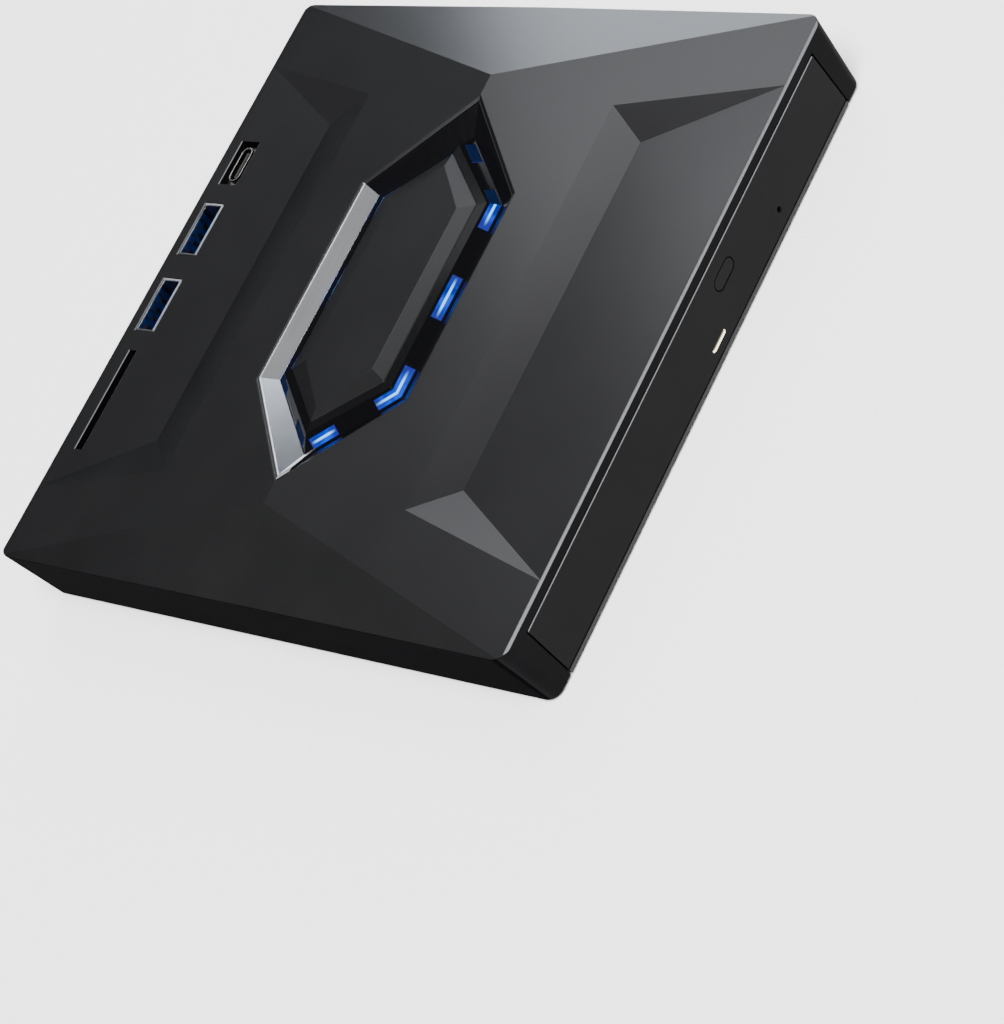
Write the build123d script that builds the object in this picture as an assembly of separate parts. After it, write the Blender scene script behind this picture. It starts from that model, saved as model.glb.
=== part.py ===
from build123d import *
import math
import os

# Slim external disc drive: a tray-loading drive in a faceted case with sockets along its rear edge.
# Millimetres, +Z up. The origin lies on the ground under the middle of the case.
# The tray comes out along -Y, the sockets are at +Y, and +X is on the right seen from the front.

# Case
CASE_W = 145.0
CASE_D = 145.0
FOOT_PROUD = 0.8
EAVE_H = 18.0
ROOF_RISE = 4.6
HIP_RUN = 20.5
END_CROWN = 0.6
SIDE_DRAFT = 1.5
CORNER_R = 3.0
WALL = 2.0
LID = 1.8
EDGE_CUT = 0.45
PLATE_T = 1.6
PLATE_GAP = 0.15
REACH = 900.0
LEAST_R = 0.5

CASE_Z = FOOT_PROUD
EAVE_Z = CASE_Z + EAVE_H
RIDGE_Z = EAVE_Z + ROOF_RISE
PLATE_Z = CASE_Z + PLATE_T
HALF_W = CASE_W / 2
HALF_D = CASE_D / 2
FRONT_Y = -HALF_D
REAR_Y = HALF_D
RIDGE_HALF = HALF_W - HIP_RUN
INNER_REAR_Y = REAR_Y - WALL
PLATE_HALF_W = HALF_W - SIDE_DRAFT - WALL - PLATE_GAP
PLATE_HALF_D = HALF_D - WALL - PLATE_GAP

# Sunken panels on the two long slopes of the roof
PANEL_IN = 28.5
PANEL_HALF = 40.3
PANEL_LIFT = 0.2
PANEL_STRIP_RUN = 9.5
PANEL_STRIP_SPREAD = 7.0
PANEL_EAVE_HALF = 55.5

# Six-sided ring let into the roof, seen from above
RING_VERTEX = 46.7
RING_CORNER_X = 24.5
RING_CORNER_Y = 21.5
RING_SLOPE_RUN = 3.9
RING_CORNER_IN = 1.5
RING_FLOOR_Z = EAVE_Z + 0.7
RING_SKIN = 1.0
RING_FLOOR_T = 1.2
RING_LIP = 0.6

# Island inside the ring
RIM_CORNER_X = 22.0
RIM_CORNER_Y = 15.2
RIM_Z = EAVE_Z + 2.8
ISLAND_WALL = 0.9
PLATEAU_VERTEX = 29.3
PLATEAU_CORNER_X = 19.3
PLATEAU_CORNER_Y = 9.5
PLATEAU_Z = EAVE_Z + 4.2
PANEL_SKIN = 1.2
FIT = 0.05

# Lit windows in the wall of the island, and what lies behind them
WINDOW_SILL = 0.2
WINDOW_HEAD = 0.35
WINDOW_WIDE = 5.0
WINDOW_MID = 10.0
WINDOW_CORNER_LONG = 6.0
WINDOW_CORNER_SHORT = 5.0
WINDOW_TIP_GAP = 1.2
WINDOW_TIP = 6.2
GUIDE_DEEP = 2.4
GUIDE_H = 2.0
GUIDE_Z = RING_FLOOR_Z - RING_FLOOR_T + 0.1
TRIM_T = 0.5
TRIM_RETURN = 2.2
LIGHT_BOARD_T = 1.0
PAD_HALF = 0.9
PANEL_POST_HALF = 1.4
LIGHT_BOARD_DROP = 1.9
LIGHT_BOARD_Z1 = RING_FLOOR_Z - LIGHT_BOARD_DROP
LED_SIZE = 1.6
LED_H = 0.6

# Slim drive
DRIVE_SEAT = 0.4
DRIVE_W = 127.6
DRIVE_L = 126.0
DRIVE_H = 12.7
SHEET = 0.6
EMBOSS = 0.25
EMBOSS_R = 34.0
BEZEL_T = 2.2
BEZEL_W = 129.2
BEZEL_H = 14.2
BEZEL_RISE = 1.1
BEZEL_GAP = 0.3
CHASSIS_SETBACK = 0.8
DRIVE_Z = PLATE_Z + DRIVE_SEAT
DRIVE_TOP = DRIVE_Z + DRIVE_H
BEZEL_BACK_Y = FRONT_Y + BEZEL_T
CHASSIS_Y0 = BEZEL_BACK_Y + CHASSIS_SETBACK
CHASSIS_Y1 = CHASSIS_Y0 + DRIVE_L
BEZEL_Z0 = CASE_Z + BEZEL_RISE
BEZEL_Z1 = BEZEL_Z0 + BEZEL_H

# Tray
TRAY_W = 119.6
TRAY_L = 123.3
TRAY_WALL = 2.4
WELL_R = 60.5
WELL_EDGE = 1.0
WELL_WALL = 1.6
TRAY_CORNER_R = 4.0
DECK_T = 1.4
HUB_HOLE_R = 16.5
TRAY_HALF = TRAY_W / 2
TRAY_REAR_Y = BEZEL_BACK_Y + TRAY_L
HUB_Y = BEZEL_BACK_Y + WELL_EDGE + WELL_R
SKIRT_Z = DRIVE_Z + 4.2
DECK_Z = DRIVE_Z + 7.7
TRAY_TOP = DRIVE_Z + 10.6
UNDER_DECK = DECK_Z - DECK_T
CORNER_POCKET_TOP = TRAY_TOP - DECK_T

# Rails at the sides of the tray
RAIL_T = 2.2
RAIL_H = 3.0
RAIL_SIDE_GAP = 0.4
RAIL_L = 120.0
RAIL_FLANGE = 1.5
RAIL_FLANGE_H = 0.6
RAIL_CLEAR = 0.3
RAIL_Z = SKIRT_Z + 1.1

# Tray fittings: front pocket, latch, folded cable and board
BUTTON_POCKET = 2.9
LATCH_X = -38.0
LATCH_Y = BEZEL_BACK_Y + 6.3
LATCH_PIN_R = 0.9
LATCH_RUNNING = 0.06
LATCH_EYE = 2.0
LATCH_ARM = 9.0
LATCH_ARM_W = 2.4
LATCH_HOOK = 4.2
LATCH_T = 1.6
LATCH_Z = DRIVE_Z + 1.7
LATCH_POST_X = LATCH_X - 5.6
LATCH_POST_Y = LATCH_Y + 4.7
LATCH_POST_R = 1.1
BOARD_HALF = 54.0
BOARD_Y0 = HUB_Y + 34.8
BOARD_Y1 = CHASSIS_Y1 - SHEET - 1.0
BOARD_T = 0.8
RIBBON_X0 = -52.0
RIBBON_X1 = -34.0
RIBBON_T = 0.2
RIBBON_FOLD_Y = HUB_Y - 5.0
RIBBON_BEND_R = 1.2

# Pickup mechanism, laid out along u from the spindle and v across
TRAVERSE_TURN = -45.0
FRAME_T = 1.0
FRAME_Z = DRIVE_Z + 1.8
FRAME_U0 = -21.0
FRAME_U1 = 70.5
FRAME_V0 = -18.5
FRAME_V1 = 24.0
FRAME_WINDOW_U0 = 14.3
FRAME_WINDOW_U1 = 62.7
FRAME_WINDOW_V = 11.0
PAN_T = 0.4
PAN_Z = DRIVE_Z + 0.9
PAN_X0 = -29.0
PAN_Y1 = HUB_Y + 33.5
DAMPER_HALF = 2.0
DAMPER_H = 1.6
DAMPERS = [(-17.0, -13.0, UNDER_DECK), (-17.0, 20.0, UNDER_DECK), (66.4, 0.0, CORNER_POCKET_TOP)]
ROD_R = 1.0
ROD_V = 14.5
ROD_U0 = 11.5
ROD_U1 = 65.0
ROD_Z = FRAME_Z + 2.7
ROD_RUNNING = 0.06
ROD_STAND = 2.5
LENS_START = 24.0
LENS_HALF_U = 3.2
LENS_HALF_V = 3.9
LENS_R = 1.9
LENS_T = 0.9
SLED_INNER = 9.0
SLED_OUTER = 5.0
SLED_V = 16.6
SLED_Z0 = FRAME_Z + FRAME_T + 0.3
SLED_Z1 = UNDER_DECK - 0.3
LENS_HOLDER_Z0 = SLED_Z0 + 2.0
LENS_HOLDER_Z1 = DECK_Z - 0.4
SLOT_HALF = 12.0
SLOT_END = 64.0
SCREW_V = 18.6
SCREW_R = 0.9
SCREW_Z = ROD_Z - 0.4
SCREW_U1 = 56.0
MOTOR_R = 2.1
MOTOR_U0 = -13.0
MOTOR_U1 = 9.0

# Spindle
SHAFT_R = 1.25
SHAFT_RUNNING = 0.05
BEARING_R = 3.0
MOTOR_BASE = 12.0
STATOR_TEETH = 9
ROTOR_R = 11.5
ROTOR_WALL = 0.8
SEAT_R = 14.0
NOSE_R = 7.3
DISC_T = 1.2
DISC_LIFT = 0.9
TURNTABLE_Z = DECK_Z - 1.1
DISC_Z = DECK_Z + DISC_LIFT
NOSE_TOP = DISC_Z + 1.9
CLAW_PROUD = 0.5
CLAW_W = 3.0
CLAW_H = 0.6
CLAW_ROOT = 3.35
CLAW_ROOM = 0.75
CLAW_Z = DISC_Z + DISC_T + 0.05

# Bezel fittings, across and up from the ground
BUTTON_X = 16.8
BUTTON_Z = 11.2
BUTTON_W = 7.0
BUTTON_H = 2.9
BUTTON_GAP = 0.2
LAMP_X = 6.2
LAMP_Z = 4.2
LAMP_W = 5.2
LAMP_H = 0.9
PIN_X = 35.9
PIN_Z = 5.3
PIN_R = 0.6

# Sockets, measured in from the outside of the rear wall
PORT_IN = 6.3
USB_XS = (-8.4, 11.4)
USB_W = 13.1
USB_T = 5.7
USB_SHEET = 0.3
USB_SPRING_X = 3.1
USB_SPRING_W = 1.8
USB_SPRING_L = 2.4
USB_SPRING_Z = 5.0
USB_TONGUE_T = 1.9
USB_TONGUE_W = 11.1
USB_TONGUE_SHIFT = -0.9
USB_TONGUE_IN = 1.5
USB_TONGUE_ROOT = 9.5
PORT_GAP = 0.2
CARD_X = -32.7
CARD_SLOT_W = 25.0
CARD_SLOT_T = 2.3
CARD_WALL = 1.0
CARD_LEAD = 0.2
CARD_FLOOR = 1.5
CARD_IN = 6.25
USB_C_X = 29.1
USB_C_IN = 6.85
USB_C_RECESS_W = 11.4
USB_C_RECESS_T = 5.7
USB_C_W = 8.94
USB_C_T = 3.2
USB_C_SHEET = 0.35
USB_C_TONGUE_W = 6.6
USB_C_TONGUE_T = 0.7
USB_C_DEEP = 7.5
POWER_X = -57.2
POWER_Z = 5.9
POWER_L = 7.6
HUB_Z0 = PLATE_Z + 0.2
HUB_T = 1.6
HUB_X0 = -63.5
HUB_X1 = 35.0
HUB_Z1 = HUB_Z0 + HUB_T
HUB_Y0 = CHASSIS_Y1 + 1.1
HUB_Y1 = INNER_REAR_Y - 0.4

# Cable groove in the underside
NOTCH_X0 = 36.8
NOTCH_X1 = 46.8
NOTCH_TOP = CASE_Z + 6.7
NOTCH_R = 1.5
GROOVE_WALL = 0.9
SIDE_GROOVE_W = 3.0
SIDE_GROOVE_TOP = CASE_Z + 5.2
CROSS_GROOVE_T = 5.7
GROOVE_FRONT_Y = FRONT_Y + 14.0
GLAND_L = 10.0
GLAND_BORE_R = 1.0

# Snap clips and feet
CLIP_W = 7.0
CLIP_T = 1.0
CLIP_H = 3.8
CLIP_BITE = 0.8
CLIP_RIB = 0.8
CLIP_GAP = 0.4
FOOT_R = 5.0
PLATE_PAD_HALF = 3.0
PLATE_PAD_IN_X = 6.0
PLATE_PAD_IN_Y = 8.0
HUB_POST_HALF = 2.0
HUB_POST_XS = (-59.5, -20.0, 20.0)
FOOT_X = 54.0
FOOT_FRONT_IN = 12.5
FOOT_REAR_IN = 24.5


def block(x0, x1, y0, y1, z0, z1):
    """Box between two opposite corners."""
    return Pos((x0 + x1) / 2, (y0 + y1) / 2, (z0 + z1) / 2) * Box(x1 - x0, y1 - y0, z1 - z0)


def post(x, y, z0, z1, radius):
    """Upright cylinder."""
    return Pos(x, y, (z0 + z1) / 2) * Cylinder(radius, z1 - z0)


def pad(x, y, half, z0, z1):
    """Square post."""
    return block(x - half, x + half, y - half, y + half, z0, z1)


def bar(u0, u1, v, z, radius):
    """Cylinder lying along the first axis."""
    return Pos((u0 + u1) / 2, v, z) * Rot(0, 90, 0) * Cylinder(radius, u1 - u0)


def group(*parts):
    """Compound of the separate solids of several parts."""
    return Compound([solid for part in parts for solid in part.solids()])


def prism(points, z0, z1):
    """Upright prism over a closed outline in plan."""
    return Pos(0, 0, z0) * extrude(make_face(Polyline(*points, close=True)), z1 - z0)


def oblong(x, y, width, thick, z0, z1):
    """Upright prism over a slot-shaped outline whose long side lies along X."""
    return Pos(x, y, z0) * extrude(SlotOverall(width, thick), z1 - z0)


def oblong_back(x, z, width, thick, y0, y1):
    """Prism along Y over a slot-shaped outline whose long side lies along X."""
    return Pos(x, y1, z) * Rot(90, 0, 0) * extrude(SlotOverall(width, thick), y1 - y0)


def facet(a, b, c, inside):
    """Plane through three points as an origin and a normal that points away from an inner point."""
    origin = Vector(*a)
    normal = (Vector(*b) - origin).cross(Vector(*c) - origin).normalized()
    if normal.dot(Vector(*inside) - origin) > 0:
        normal = normal * -1
    return origin, normal


def trimmed(solid, facets, grow=0.0, drop=0.0):
    """What is left of a solid inside a set of facets, each moved out by grow and down by drop."""
    for origin, normal in facets:
        seat = Plane(origin + normal * grow - Vector(0, 0, drop), z_dir=normal)
        solid = solid - seat * Box(REACH, REACH, REACH, align=(Align.CENTER, Align.CENTER, Align.MIN))
    return solid


def mirrored_facets(points, inside):
    """One facet per mirror image, in X and Y, of a facet given in the first quadrant."""
    facets = []
    for sx in (-1, 1):
        for sy in (-1, 1):
            image = [(sx * x, sy * y, z) for x, y, z in points]
            facets.append(facet(*image, inside))
    return facets


# The roof: two long slopes and, at each end, two facets that meet in a faint crease.
MIDDLE = (0, 0, CASE_Z)
ROOF = mirrored_facets(
    [(RIDGE_HALF, 0, RIDGE_Z), (HALF_W, HALF_D, EAVE_Z), (HALF_W, 0, EAVE_Z + END_CROWN)], MIDDLE
)
for roof_side in (-1, 1):
    ROOF.append(facet(
        (-RIDGE_HALF, 0, RIDGE_Z), (RIDGE_HALF, 0, RIDGE_Z), (0, roof_side * HALF_D, EAVE_Z), MIDDLE
    ))

# The bright narrow cuts along the front and rear eaves.
EAVE_CUTS = [
    facet((-1, side * HALF_D, EAVE_Z - EDGE_CUT), (1, side * HALF_D, EAVE_Z - EDGE_CUT),
          (0, side * (HALF_D - EDGE_CUT), EAVE_Z), MIDDLE)
    for side in (-1, 1)
]


def roof_height(y):
    """Height of the long slopes at a distance from the ridge."""
    return EAVE_Z + ROOF_RISE * (1 - abs(y) / HALF_D)


# The outer slope of the ring, from the roof down to the ring's floor line.
RING_BOTTOM_Y = RING_CORNER_Y - RING_SLOPE_RUN
RING_BOTTOM_X = RING_CORNER_X - RING_CORNER_IN
RING_OUT = mirrored_facets(
    [(RING_VERTEX, 0, RIDGE_Z), (RING_CORNER_X, RING_CORNER_Y, roof_height(RING_CORNER_Y)),
     (RING_BOTTOM_X, RING_BOTTOM_Y, RING_FLOOR_Z)], (0, 0, RIDGE_Z)
)
for ring_side in (-1, 1):
    RING_OUT.append(facet(
        (0, ring_side * RING_CORNER_Y, roof_height(RING_CORNER_Y)),
        (0, ring_side * RING_BOTTOM_Y, RING_FLOOR_Z), (1, ring_side * RING_BOTTOM_Y, RING_FLOOR_Z),
        (0, 0, RIDGE_Z)
    ))

# The outward wall of the island. Its foot meets the outer slope in the ring's floor line.
outer_arm = Vector(RING_CORNER_X - RING_VERTEX, RING_CORNER_Y, roof_height(RING_CORNER_Y) - RIDGE_Z)
inner_arm = Vector(RING_BOTTOM_X - RING_VERTEX, RING_BOTTOM_Y, RING_FLOOR_Z - RIDGE_Z)
arm_normal = outer_arm.cross(inner_arm)
RING_BOTTOM_VERTEX = RING_BOTTOM_X + RING_BOTTOM_Y * arm_normal.Y / arm_normal.X
ISLAND_WALLS = mirrored_facets(
    [(RING_BOTTOM_VERTEX, 0, RING_FLOOR_Z), (RING_BOTTOM_X, RING_BOTTOM_Y, RING_FLOOR_Z),
     (RIM_CORNER_X, RIM_CORNER_Y, RIM_Z)], (0, 0, RING_FLOOR_Z)
)
for wall_side in (-1, 1):
    ISLAND_WALLS.append(facet(
        (0, wall_side * RING_BOTTOM_Y, RING_FLOOR_Z), (1, wall_side * RING_BOTTOM_Y, RING_FLOOR_Z),
        (0, wall_side * RIM_CORNER_Y, RIM_Z), (0, 0, RING_FLOOR_Z)
    ))

# The bevelled top of the island.
ISLAND_TOP = mirrored_facets(
    [(RIM_CORNER_X, RIM_CORNER_Y, RIM_Z), (PLATEAU_CORNER_X, PLATEAU_CORNER_Y, PLATEAU_Z),
     (PLATEAU_VERTEX, 0, PLATEAU_Z)], (0, 0, RING_FLOOR_Z)
)
for top_side in (-1, 1):
    ISLAND_TOP.append(facet(
        (0, top_side * RIM_CORNER_Y, RIM_Z), (1, top_side * PLATEAU_CORNER_Y, PLATEAU_Z),
        (0, top_side * PLATEAU_CORNER_Y, PLATEAU_Z), (0, 0, RING_FLOOR_Z)
    ))


def case_block(inset, drop, floor_z):
    """Roofed block whose walls stand inset inside the case's and whose roof lies drop below it."""
    half_w = HALF_W - inset
    half_d = HALF_D - inset
    top_z = RIDGE_Z + 1
    lean = SIDE_DRAFT / EAVE_H
    foot = half_w - lean * (EAVE_Z - floor_z)
    head = half_w + lean * (top_z - EAVE_Z)
    section = Plane.XZ * make_face(Polyline(
        (-foot, floor_z), (foot, floor_z), (head, top_z), (-head, top_z), close=True
    ))
    solid = extrude(section, half_d, both=True)
    uprights = [edge for edge in solid.edges() if abs((edge @ 1 - edge @ 0).Z) > EAVE_H / 2]
    solid = fillet(uprights, max(CORNER_R - inset, LEAST_R))
    return trimmed(solid, ROOF, drop=drop)


def panel_cutter(side, drop=0.0):
    """Space over one sunken panel, bounded below by its floor, its long strip and its two end facets."""
    inner_y = side * (HALF_D - PANEL_IN)
    strip_y = side * (HALF_D - PANEL_IN - PANEL_STRIP_RUN)
    eave_y = side * HALF_D
    floor_z = EAVE_Z + PANEL_LIFT
    strip_z = roof_height(strip_y)
    strip_half = PANEL_HALF + PANEL_STRIP_SPREAD
    above = (0, side * (HALF_D - 5), RIDGE_Z + 10)
    facets = [
        facet((-1, inner_y, floor_z), (1, inner_y, floor_z), (0, eave_y, EAVE_Z), above),
        facet((-1, inner_y, floor_z), (1, inner_y, floor_z), (0, strip_y, strip_z), above),
    ]
    for end in (-1, 1):
        facets.append(facet(
            (end * PANEL_HALF, inner_y, floor_z), (end * strip_half, strip_y, strip_z),
            (end * PANEL_EAVE_HALF, eave_y, EAVE_Z), above
        ))
    near, far = sorted((side * HALF_D / 4, side * (HALF_D + 5)))
    space = block(-HALF_W, HALF_W, near, far, CASE_Z, RIDGE_Z + 5)
    return trimmed(space, facets, drop=drop)


FEET = [
    (side * FOOT_X, y) for side in (-1, 1) for y in (FRONT_Y + FOOT_FRONT_IN, REAR_Y - FOOT_REAR_IN)
]


# Snap clips: a point on the inner face of a wall, and the turn from +X to the way the wall faces.
CLIPS = [
    (-1, FRONT_Y + 10.5, 180), (-1, 0.0, 180), (-1, REAR_Y - 14.5, 180), (1, FRONT_Y + 8.5, 0),
    (HALF_W - 15.5, 1, 90),
]


def clip_seat(across, along_wall, turn):
    """Place of a clip: a side of the case and a distance along it, or a distance across at the rear."""
    if turn == 90:
        return Pos(across, INNER_REAR_Y, PLATE_Z) * Rot(0, 0, turn)
    lean = SIDE_DRAFT * (EAVE_Z - PLATE_Z - CLIP_H) / EAVE_H
    return Pos(across * (HALF_W - WALL - lean), along_wall, PLATE_Z) * Rot(0, 0, turn)


def clip_rib():
    """Rib on the lid's wall that a clip hooks over. The wall's inner face is at zero."""
    half = CLIP_W / 2 + CLIP_GAP
    top = CLIP_H - CLIP_RIB - CLIP_GAP
    return block(-CLIP_BITE, WALL / 2, -half, half, top - CLIP_RIB, top)


def clip_tongue():
    """Tongue of the plate with its hook over the rib."""
    half = CLIP_W / 2
    inner = -CLIP_BITE - CLIP_GAP - CLIP_T
    tongue = block(inner, inner + CLIP_T, -half, half, -PLATE_T / 2, CLIP_H)
    return tongue + block(inner, -CLIP_GAP, -half, half, CLIP_H - CLIP_RIB, CLIP_H)


def notch_cutter():
    """Round-cornered notch that the stowed cable leaves by."""
    cutter = block(NOTCH_X0, NOTCH_X1, INNER_REAR_Y - 1, REAR_Y + 1, CASE_Z - 3, NOTCH_TOP)
    corners = [
        edge for edge in cutter.edges().filter_by(Axis.Y) if edge.center().Z > CASE_Z
    ]
    return fillet(corners, NOTCH_R)


def make_top_cover():
    """Lid and four walls in one moulding, open below and at the front, pierced for every socket."""
    body = trimmed(case_block(0, 0, CASE_Z), EAVE_CUTS)
    hollow = case_block(WALL, LID, CASE_Z - 1)
    for side in (-1, 1):
        body = body - panel_cutter(side)
        hollow = hollow - panel_cutter(side, LID)
    body = body - hollow
    for clip in CLIPS:
        body = body + clip_seat(*clip) * clip_rib()
    above = block(-HALF_W, HALF_W, -HALF_D, HALF_D, CASE_Z + EAVE_H / 2, RIDGE_Z + 5)
    body = body - trimmed(above, RING_OUT, grow=FIT)
    body = body - trimmed(trimmed(above, RING_OUT, grow=RING_SKIN + FIT), ROOF, drop=RING_LIP)
    front_half = BEZEL_W / 2 + BEZEL_GAP
    body = body - block(
        -front_half, front_half, FRONT_Y - 1, FRONT_Y + WALL + 1, CASE_Z - 1, BEZEL_Z1 + BEZEL_GAP
    )
    body = body - notch_cutter()
    port_y = REAR_Y - PORT_IN
    for x in USB_XS:
        half_x = USB_W / 2 + PORT_GAP
        half_y = USB_T / 2 + PORT_GAP
        body = body - block(x - half_x, x + half_x, port_y - half_y, port_y + half_y, DRIVE_Z, RIDGE_Z)
    card_y = REAR_Y - CARD_IN
    body = body - block(
        CARD_X - CARD_SLOT_W / 2, CARD_X + CARD_SLOT_W / 2,
        card_y - CARD_SLOT_T / 2, card_y + CARD_SLOT_T / 2, DRIVE_Z, RIDGE_Z
    )
    usb_c_y = REAR_Y - USB_C_IN
    body = body - block(
        USB_C_X - USB_C_RECESS_W / 2, USB_C_X + USB_C_RECESS_W / 2,
        usb_c_y - USB_C_RECESS_T / 2, usb_c_y + USB_C_RECESS_T / 2, DRIVE_Z, RIDGE_Z
    )
    return body - oblong_back(
        POWER_X, POWER_Z, USB_C_W + 2 * PORT_GAP, USB_C_T + 2 * PORT_GAP, INNER_REAR_Y - 1, REAR_Y + 1
    )


def groove_run(wall):
    """Plan of the cable groove as three runs, each widened by a wall."""
    cross_y0 = CHASSIS_Y1 + 0.4 + GROOVE_WALL
    cross_y1 = cross_y0 + CROSS_GROOVE_T
    side_x1 = PLATE_HALF_W - GROOVE_WALL + FIT
    side_x0 = side_x1 - SIDE_GROOVE_W
    outer_x1 = side_x1 + wall - FIT
    return [
        (NOTCH_X0 - wall, NOTCH_X1 + wall, cross_y0 - wall, PLATE_HALF_D, NOTCH_TOP + wall),
        (NOTCH_X0 - wall, outer_x1, cross_y0 - wall, cross_y1 + wall, NOTCH_TOP + wall),
        (side_x0 - wall, outer_x1, GROOVE_FRONT_Y - wall, cross_y1 + wall, SIDE_GROOVE_TOP + wall),
    ]


def make_bottom_cover():
    """Plate under the drive with its cable groove, front lip, pads and snap clips."""
    plate = block(-PLATE_HALF_W, PLATE_HALF_W, -PLATE_HALF_D, PLATE_HALF_D, CASE_Z, PLATE_Z)
    plate = fillet(plate.edges().filter_by(Axis.Z), max(CORNER_R - WALL, LEAST_R))
    lip_half = BEZEL_W / 2
    plate = plate + block(-lip_half, lip_half, FRONT_Y, FRONT_Y + WALL + 1, CASE_Z, BEZEL_Z0 - BEZEL_GAP)
    for x0, x1, y0, y1, top in groove_run(GROOVE_WALL):
        plate = plate + block(x0, x1, y0, y1, CASE_Z, top)
    for x0, x1, y0, y1, top in groove_run(0.0):
        end_y = REAR_Y if y1 == PLATE_HALF_D else y1
        plate = plate - block(x0, x1, y0, end_y, CASE_Z - 1, top)
    plate = plate - (block(
        -BEZEL_W / 2 - 1, BEZEL_W / 2 + 1, FRONT_Y - 1, CHASSIS_Y0, BEZEL_Z0 - BEZEL_GAP, PLATE_Z + 1
    ))
    pad_x = DRIVE_W / 2 - PLATE_PAD_IN_X
    for x in (-pad_x, pad_x):
        for y in (CHASSIS_Y0 + PLATE_PAD_IN_Y, CHASSIS_Y1 - PLATE_PAD_IN_Y):
            plate = plate + pad(x, y, PLATE_PAD_HALF, PLATE_Z - PLATE_T / 4, DRIVE_Z)
    for x in HUB_POST_XS:
        plate = plate + pad(x, HUB_Y0 + HUB_POST_HALF + 0.5, HUB_POST_HALF, PLATE_Z - PLATE_T / 4, HUB_Z0)
    for clip in CLIPS:
        plate = plate + clip_seat(*clip) * clip_tongue()
    return plate


def make_feet():
    """Four round rubber feet."""
    return group(*[post(x, y, 0, CASE_Z, FOOT_R) for x, y in FEET])


def along(start, end, s0, s1, z0, z1):
    """Upright slab that straddles a plan line between two distances along it."""
    a = Vector(*start)
    b = Vector(*end)
    run = (b - a).normalized()
    middle = a + run * ((s0 + s1) / 2)
    turn = math.degrees(math.atan2(run.Y, run.X))
    return Pos(middle.X, middle.Y, (z0 + z1) / 2) * Rot(0, 0, turn) * Box(s1 - s0, WINDOW_WIDE, z1 - z0)


def window_slabs(gap):
    """Slabs that cut the lit windows out of the island's wall, each smaller by a gap."""
    z0 = RING_FLOOR_Z + WINDOW_SILL + gap
    z1 = RIM_Z - WINDOW_HEAD - gap
    tip_x = (RING_BOTTOM_VERTEX + RIM_VERTEX) / 2
    corner_x = (RING_BOTTOM_X + RIM_CORNER_X) / 2
    corner_y = (RING_BOTTOM_Y + RIM_CORNER_Y) / 2
    slabs = []
    for sy in (-1, 1):
        middle = [(end * WINDOW_MID / 2, sy * corner_y, 0) for end in (-1, 1)]
        slabs.append(along(*middle, gap, WINDOW_MID - gap, z0, z1))
        for sx in (-1, 1):
            corner = (sx * corner_x, sy * corner_y, 0)
            tip = (sx * tip_x, 0, 0)
            across = (0, sy * corner_y, 0)
            slabs.append(
                along(corner, across, 0, WINDOW_CORNER_LONG - gap, z0, z1)
                + along(corner, tip, 0, WINDOW_CORNER_SHORT - gap, z0, z1)
                + post(corner[0], corner[1], z0, z1, WINDOW_WIDE / 2)
            )
            slabs.append(along(
                tip, corner, WINDOW_TIP_GAP + gap, WINDOW_TIP_GAP + WINDOW_TIP - gap, z0, z1
            ))
    return slabs


# The island's rim at its two ends, where the wall facet and the bevel facet cross above the ridge line.
wall_origin, wall_normal = ISLAND_WALLS[3]
top_origin, top_normal = ISLAND_TOP[3]
rim_rows = wall_normal.X * top_normal.Z - wall_normal.Z * top_normal.X
RIM_VERTEX = (
    wall_normal.dot(wall_origin) * top_normal.Z - top_normal.dot(top_origin) * wall_normal.Z
) / rim_rows


def island(floor_z, grow):
    """Island from a floor up to its bevelled top, with its walls moved out by grow."""
    space = block(-HALF_W, HALF_W, -HALF_D, HALF_D, floor_z, PLATEAU_Z)
    return trimmed(trimmed(space, ISLAND_WALLS, grow=grow), ISLAND_TOP)


def island_shaft(floor_z, grow):
    """Upright space inside the island's walls, moved out by grow and open above."""
    space = block(-HALF_W, HALF_W, -HALF_D, HALF_D, floor_z, RIDGE_Z + 5)
    return trimmed(space, ISLAND_WALLS, grow=grow)


def island_skin():
    """Wall round the island, from the ring's floor to the bevelled top."""
    return island(RING_FLOOR_Z - RING_FLOOR_T, 0.0) - island_shaft(RING_FLOOR_Z - 5, -ISLAND_WALL)


def make_hexagon_channel():
    """Glossy ring under the lid's edge: outer slope, floor and the island's wall with its window notches."""
    z0 = RING_FLOOR_Z - RING_FLOOR_T
    space = block(-HALF_W, HALF_W, -HALF_D, HALF_D, z0, RIDGE_Z + 5)
    shell = trimmed(trimmed(space, RING_OUT, grow=RING_SKIN), ROOF, drop=RING_LIP + FIT)
    groove = block(-HALF_W, HALF_W, -HALF_D, HALF_D, RING_FLOOR_Z, RIDGE_Z + 9)
    shell = shell - trimmed(groove, RING_OUT)
    skin = island_skin()
    shell = shell - island_shaft(z0 - 1, 0.0) + skin
    for slab in window_slabs(0.0):
        shell = shell - (skin & slab)
    pads = [
        (sx * RING_CORNER_X * 0.9, sy * (RING_BOTTOM_Y + 0.6)) for sx in (-1, 1) for sy in (-1, 1)
    ]
    for x, y in pads:
        shell = shell + pad(x, y, PAD_HALF, LIGHT_BOARD_Z1, z0 + FIT)
    return shell


def make_light_guide():
    """Frosted ring behind the island's wall, with a lug in each window notch."""
    skin = island_skin()
    band = block(-HALF_W, HALF_W, -HALF_D, HALF_D, GUIDE_Z, GUIDE_Z + GUIDE_H)
    band = trimmed(band, ISLAND_WALLS, grow=-ISLAND_WALL)
    band = band - island_shaft(GUIDE_Z - 1, -ISLAND_WALL - GUIDE_DEEP)
    for slab in window_slabs(FIT):
        band = band + (skin & slab)
    return band


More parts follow.
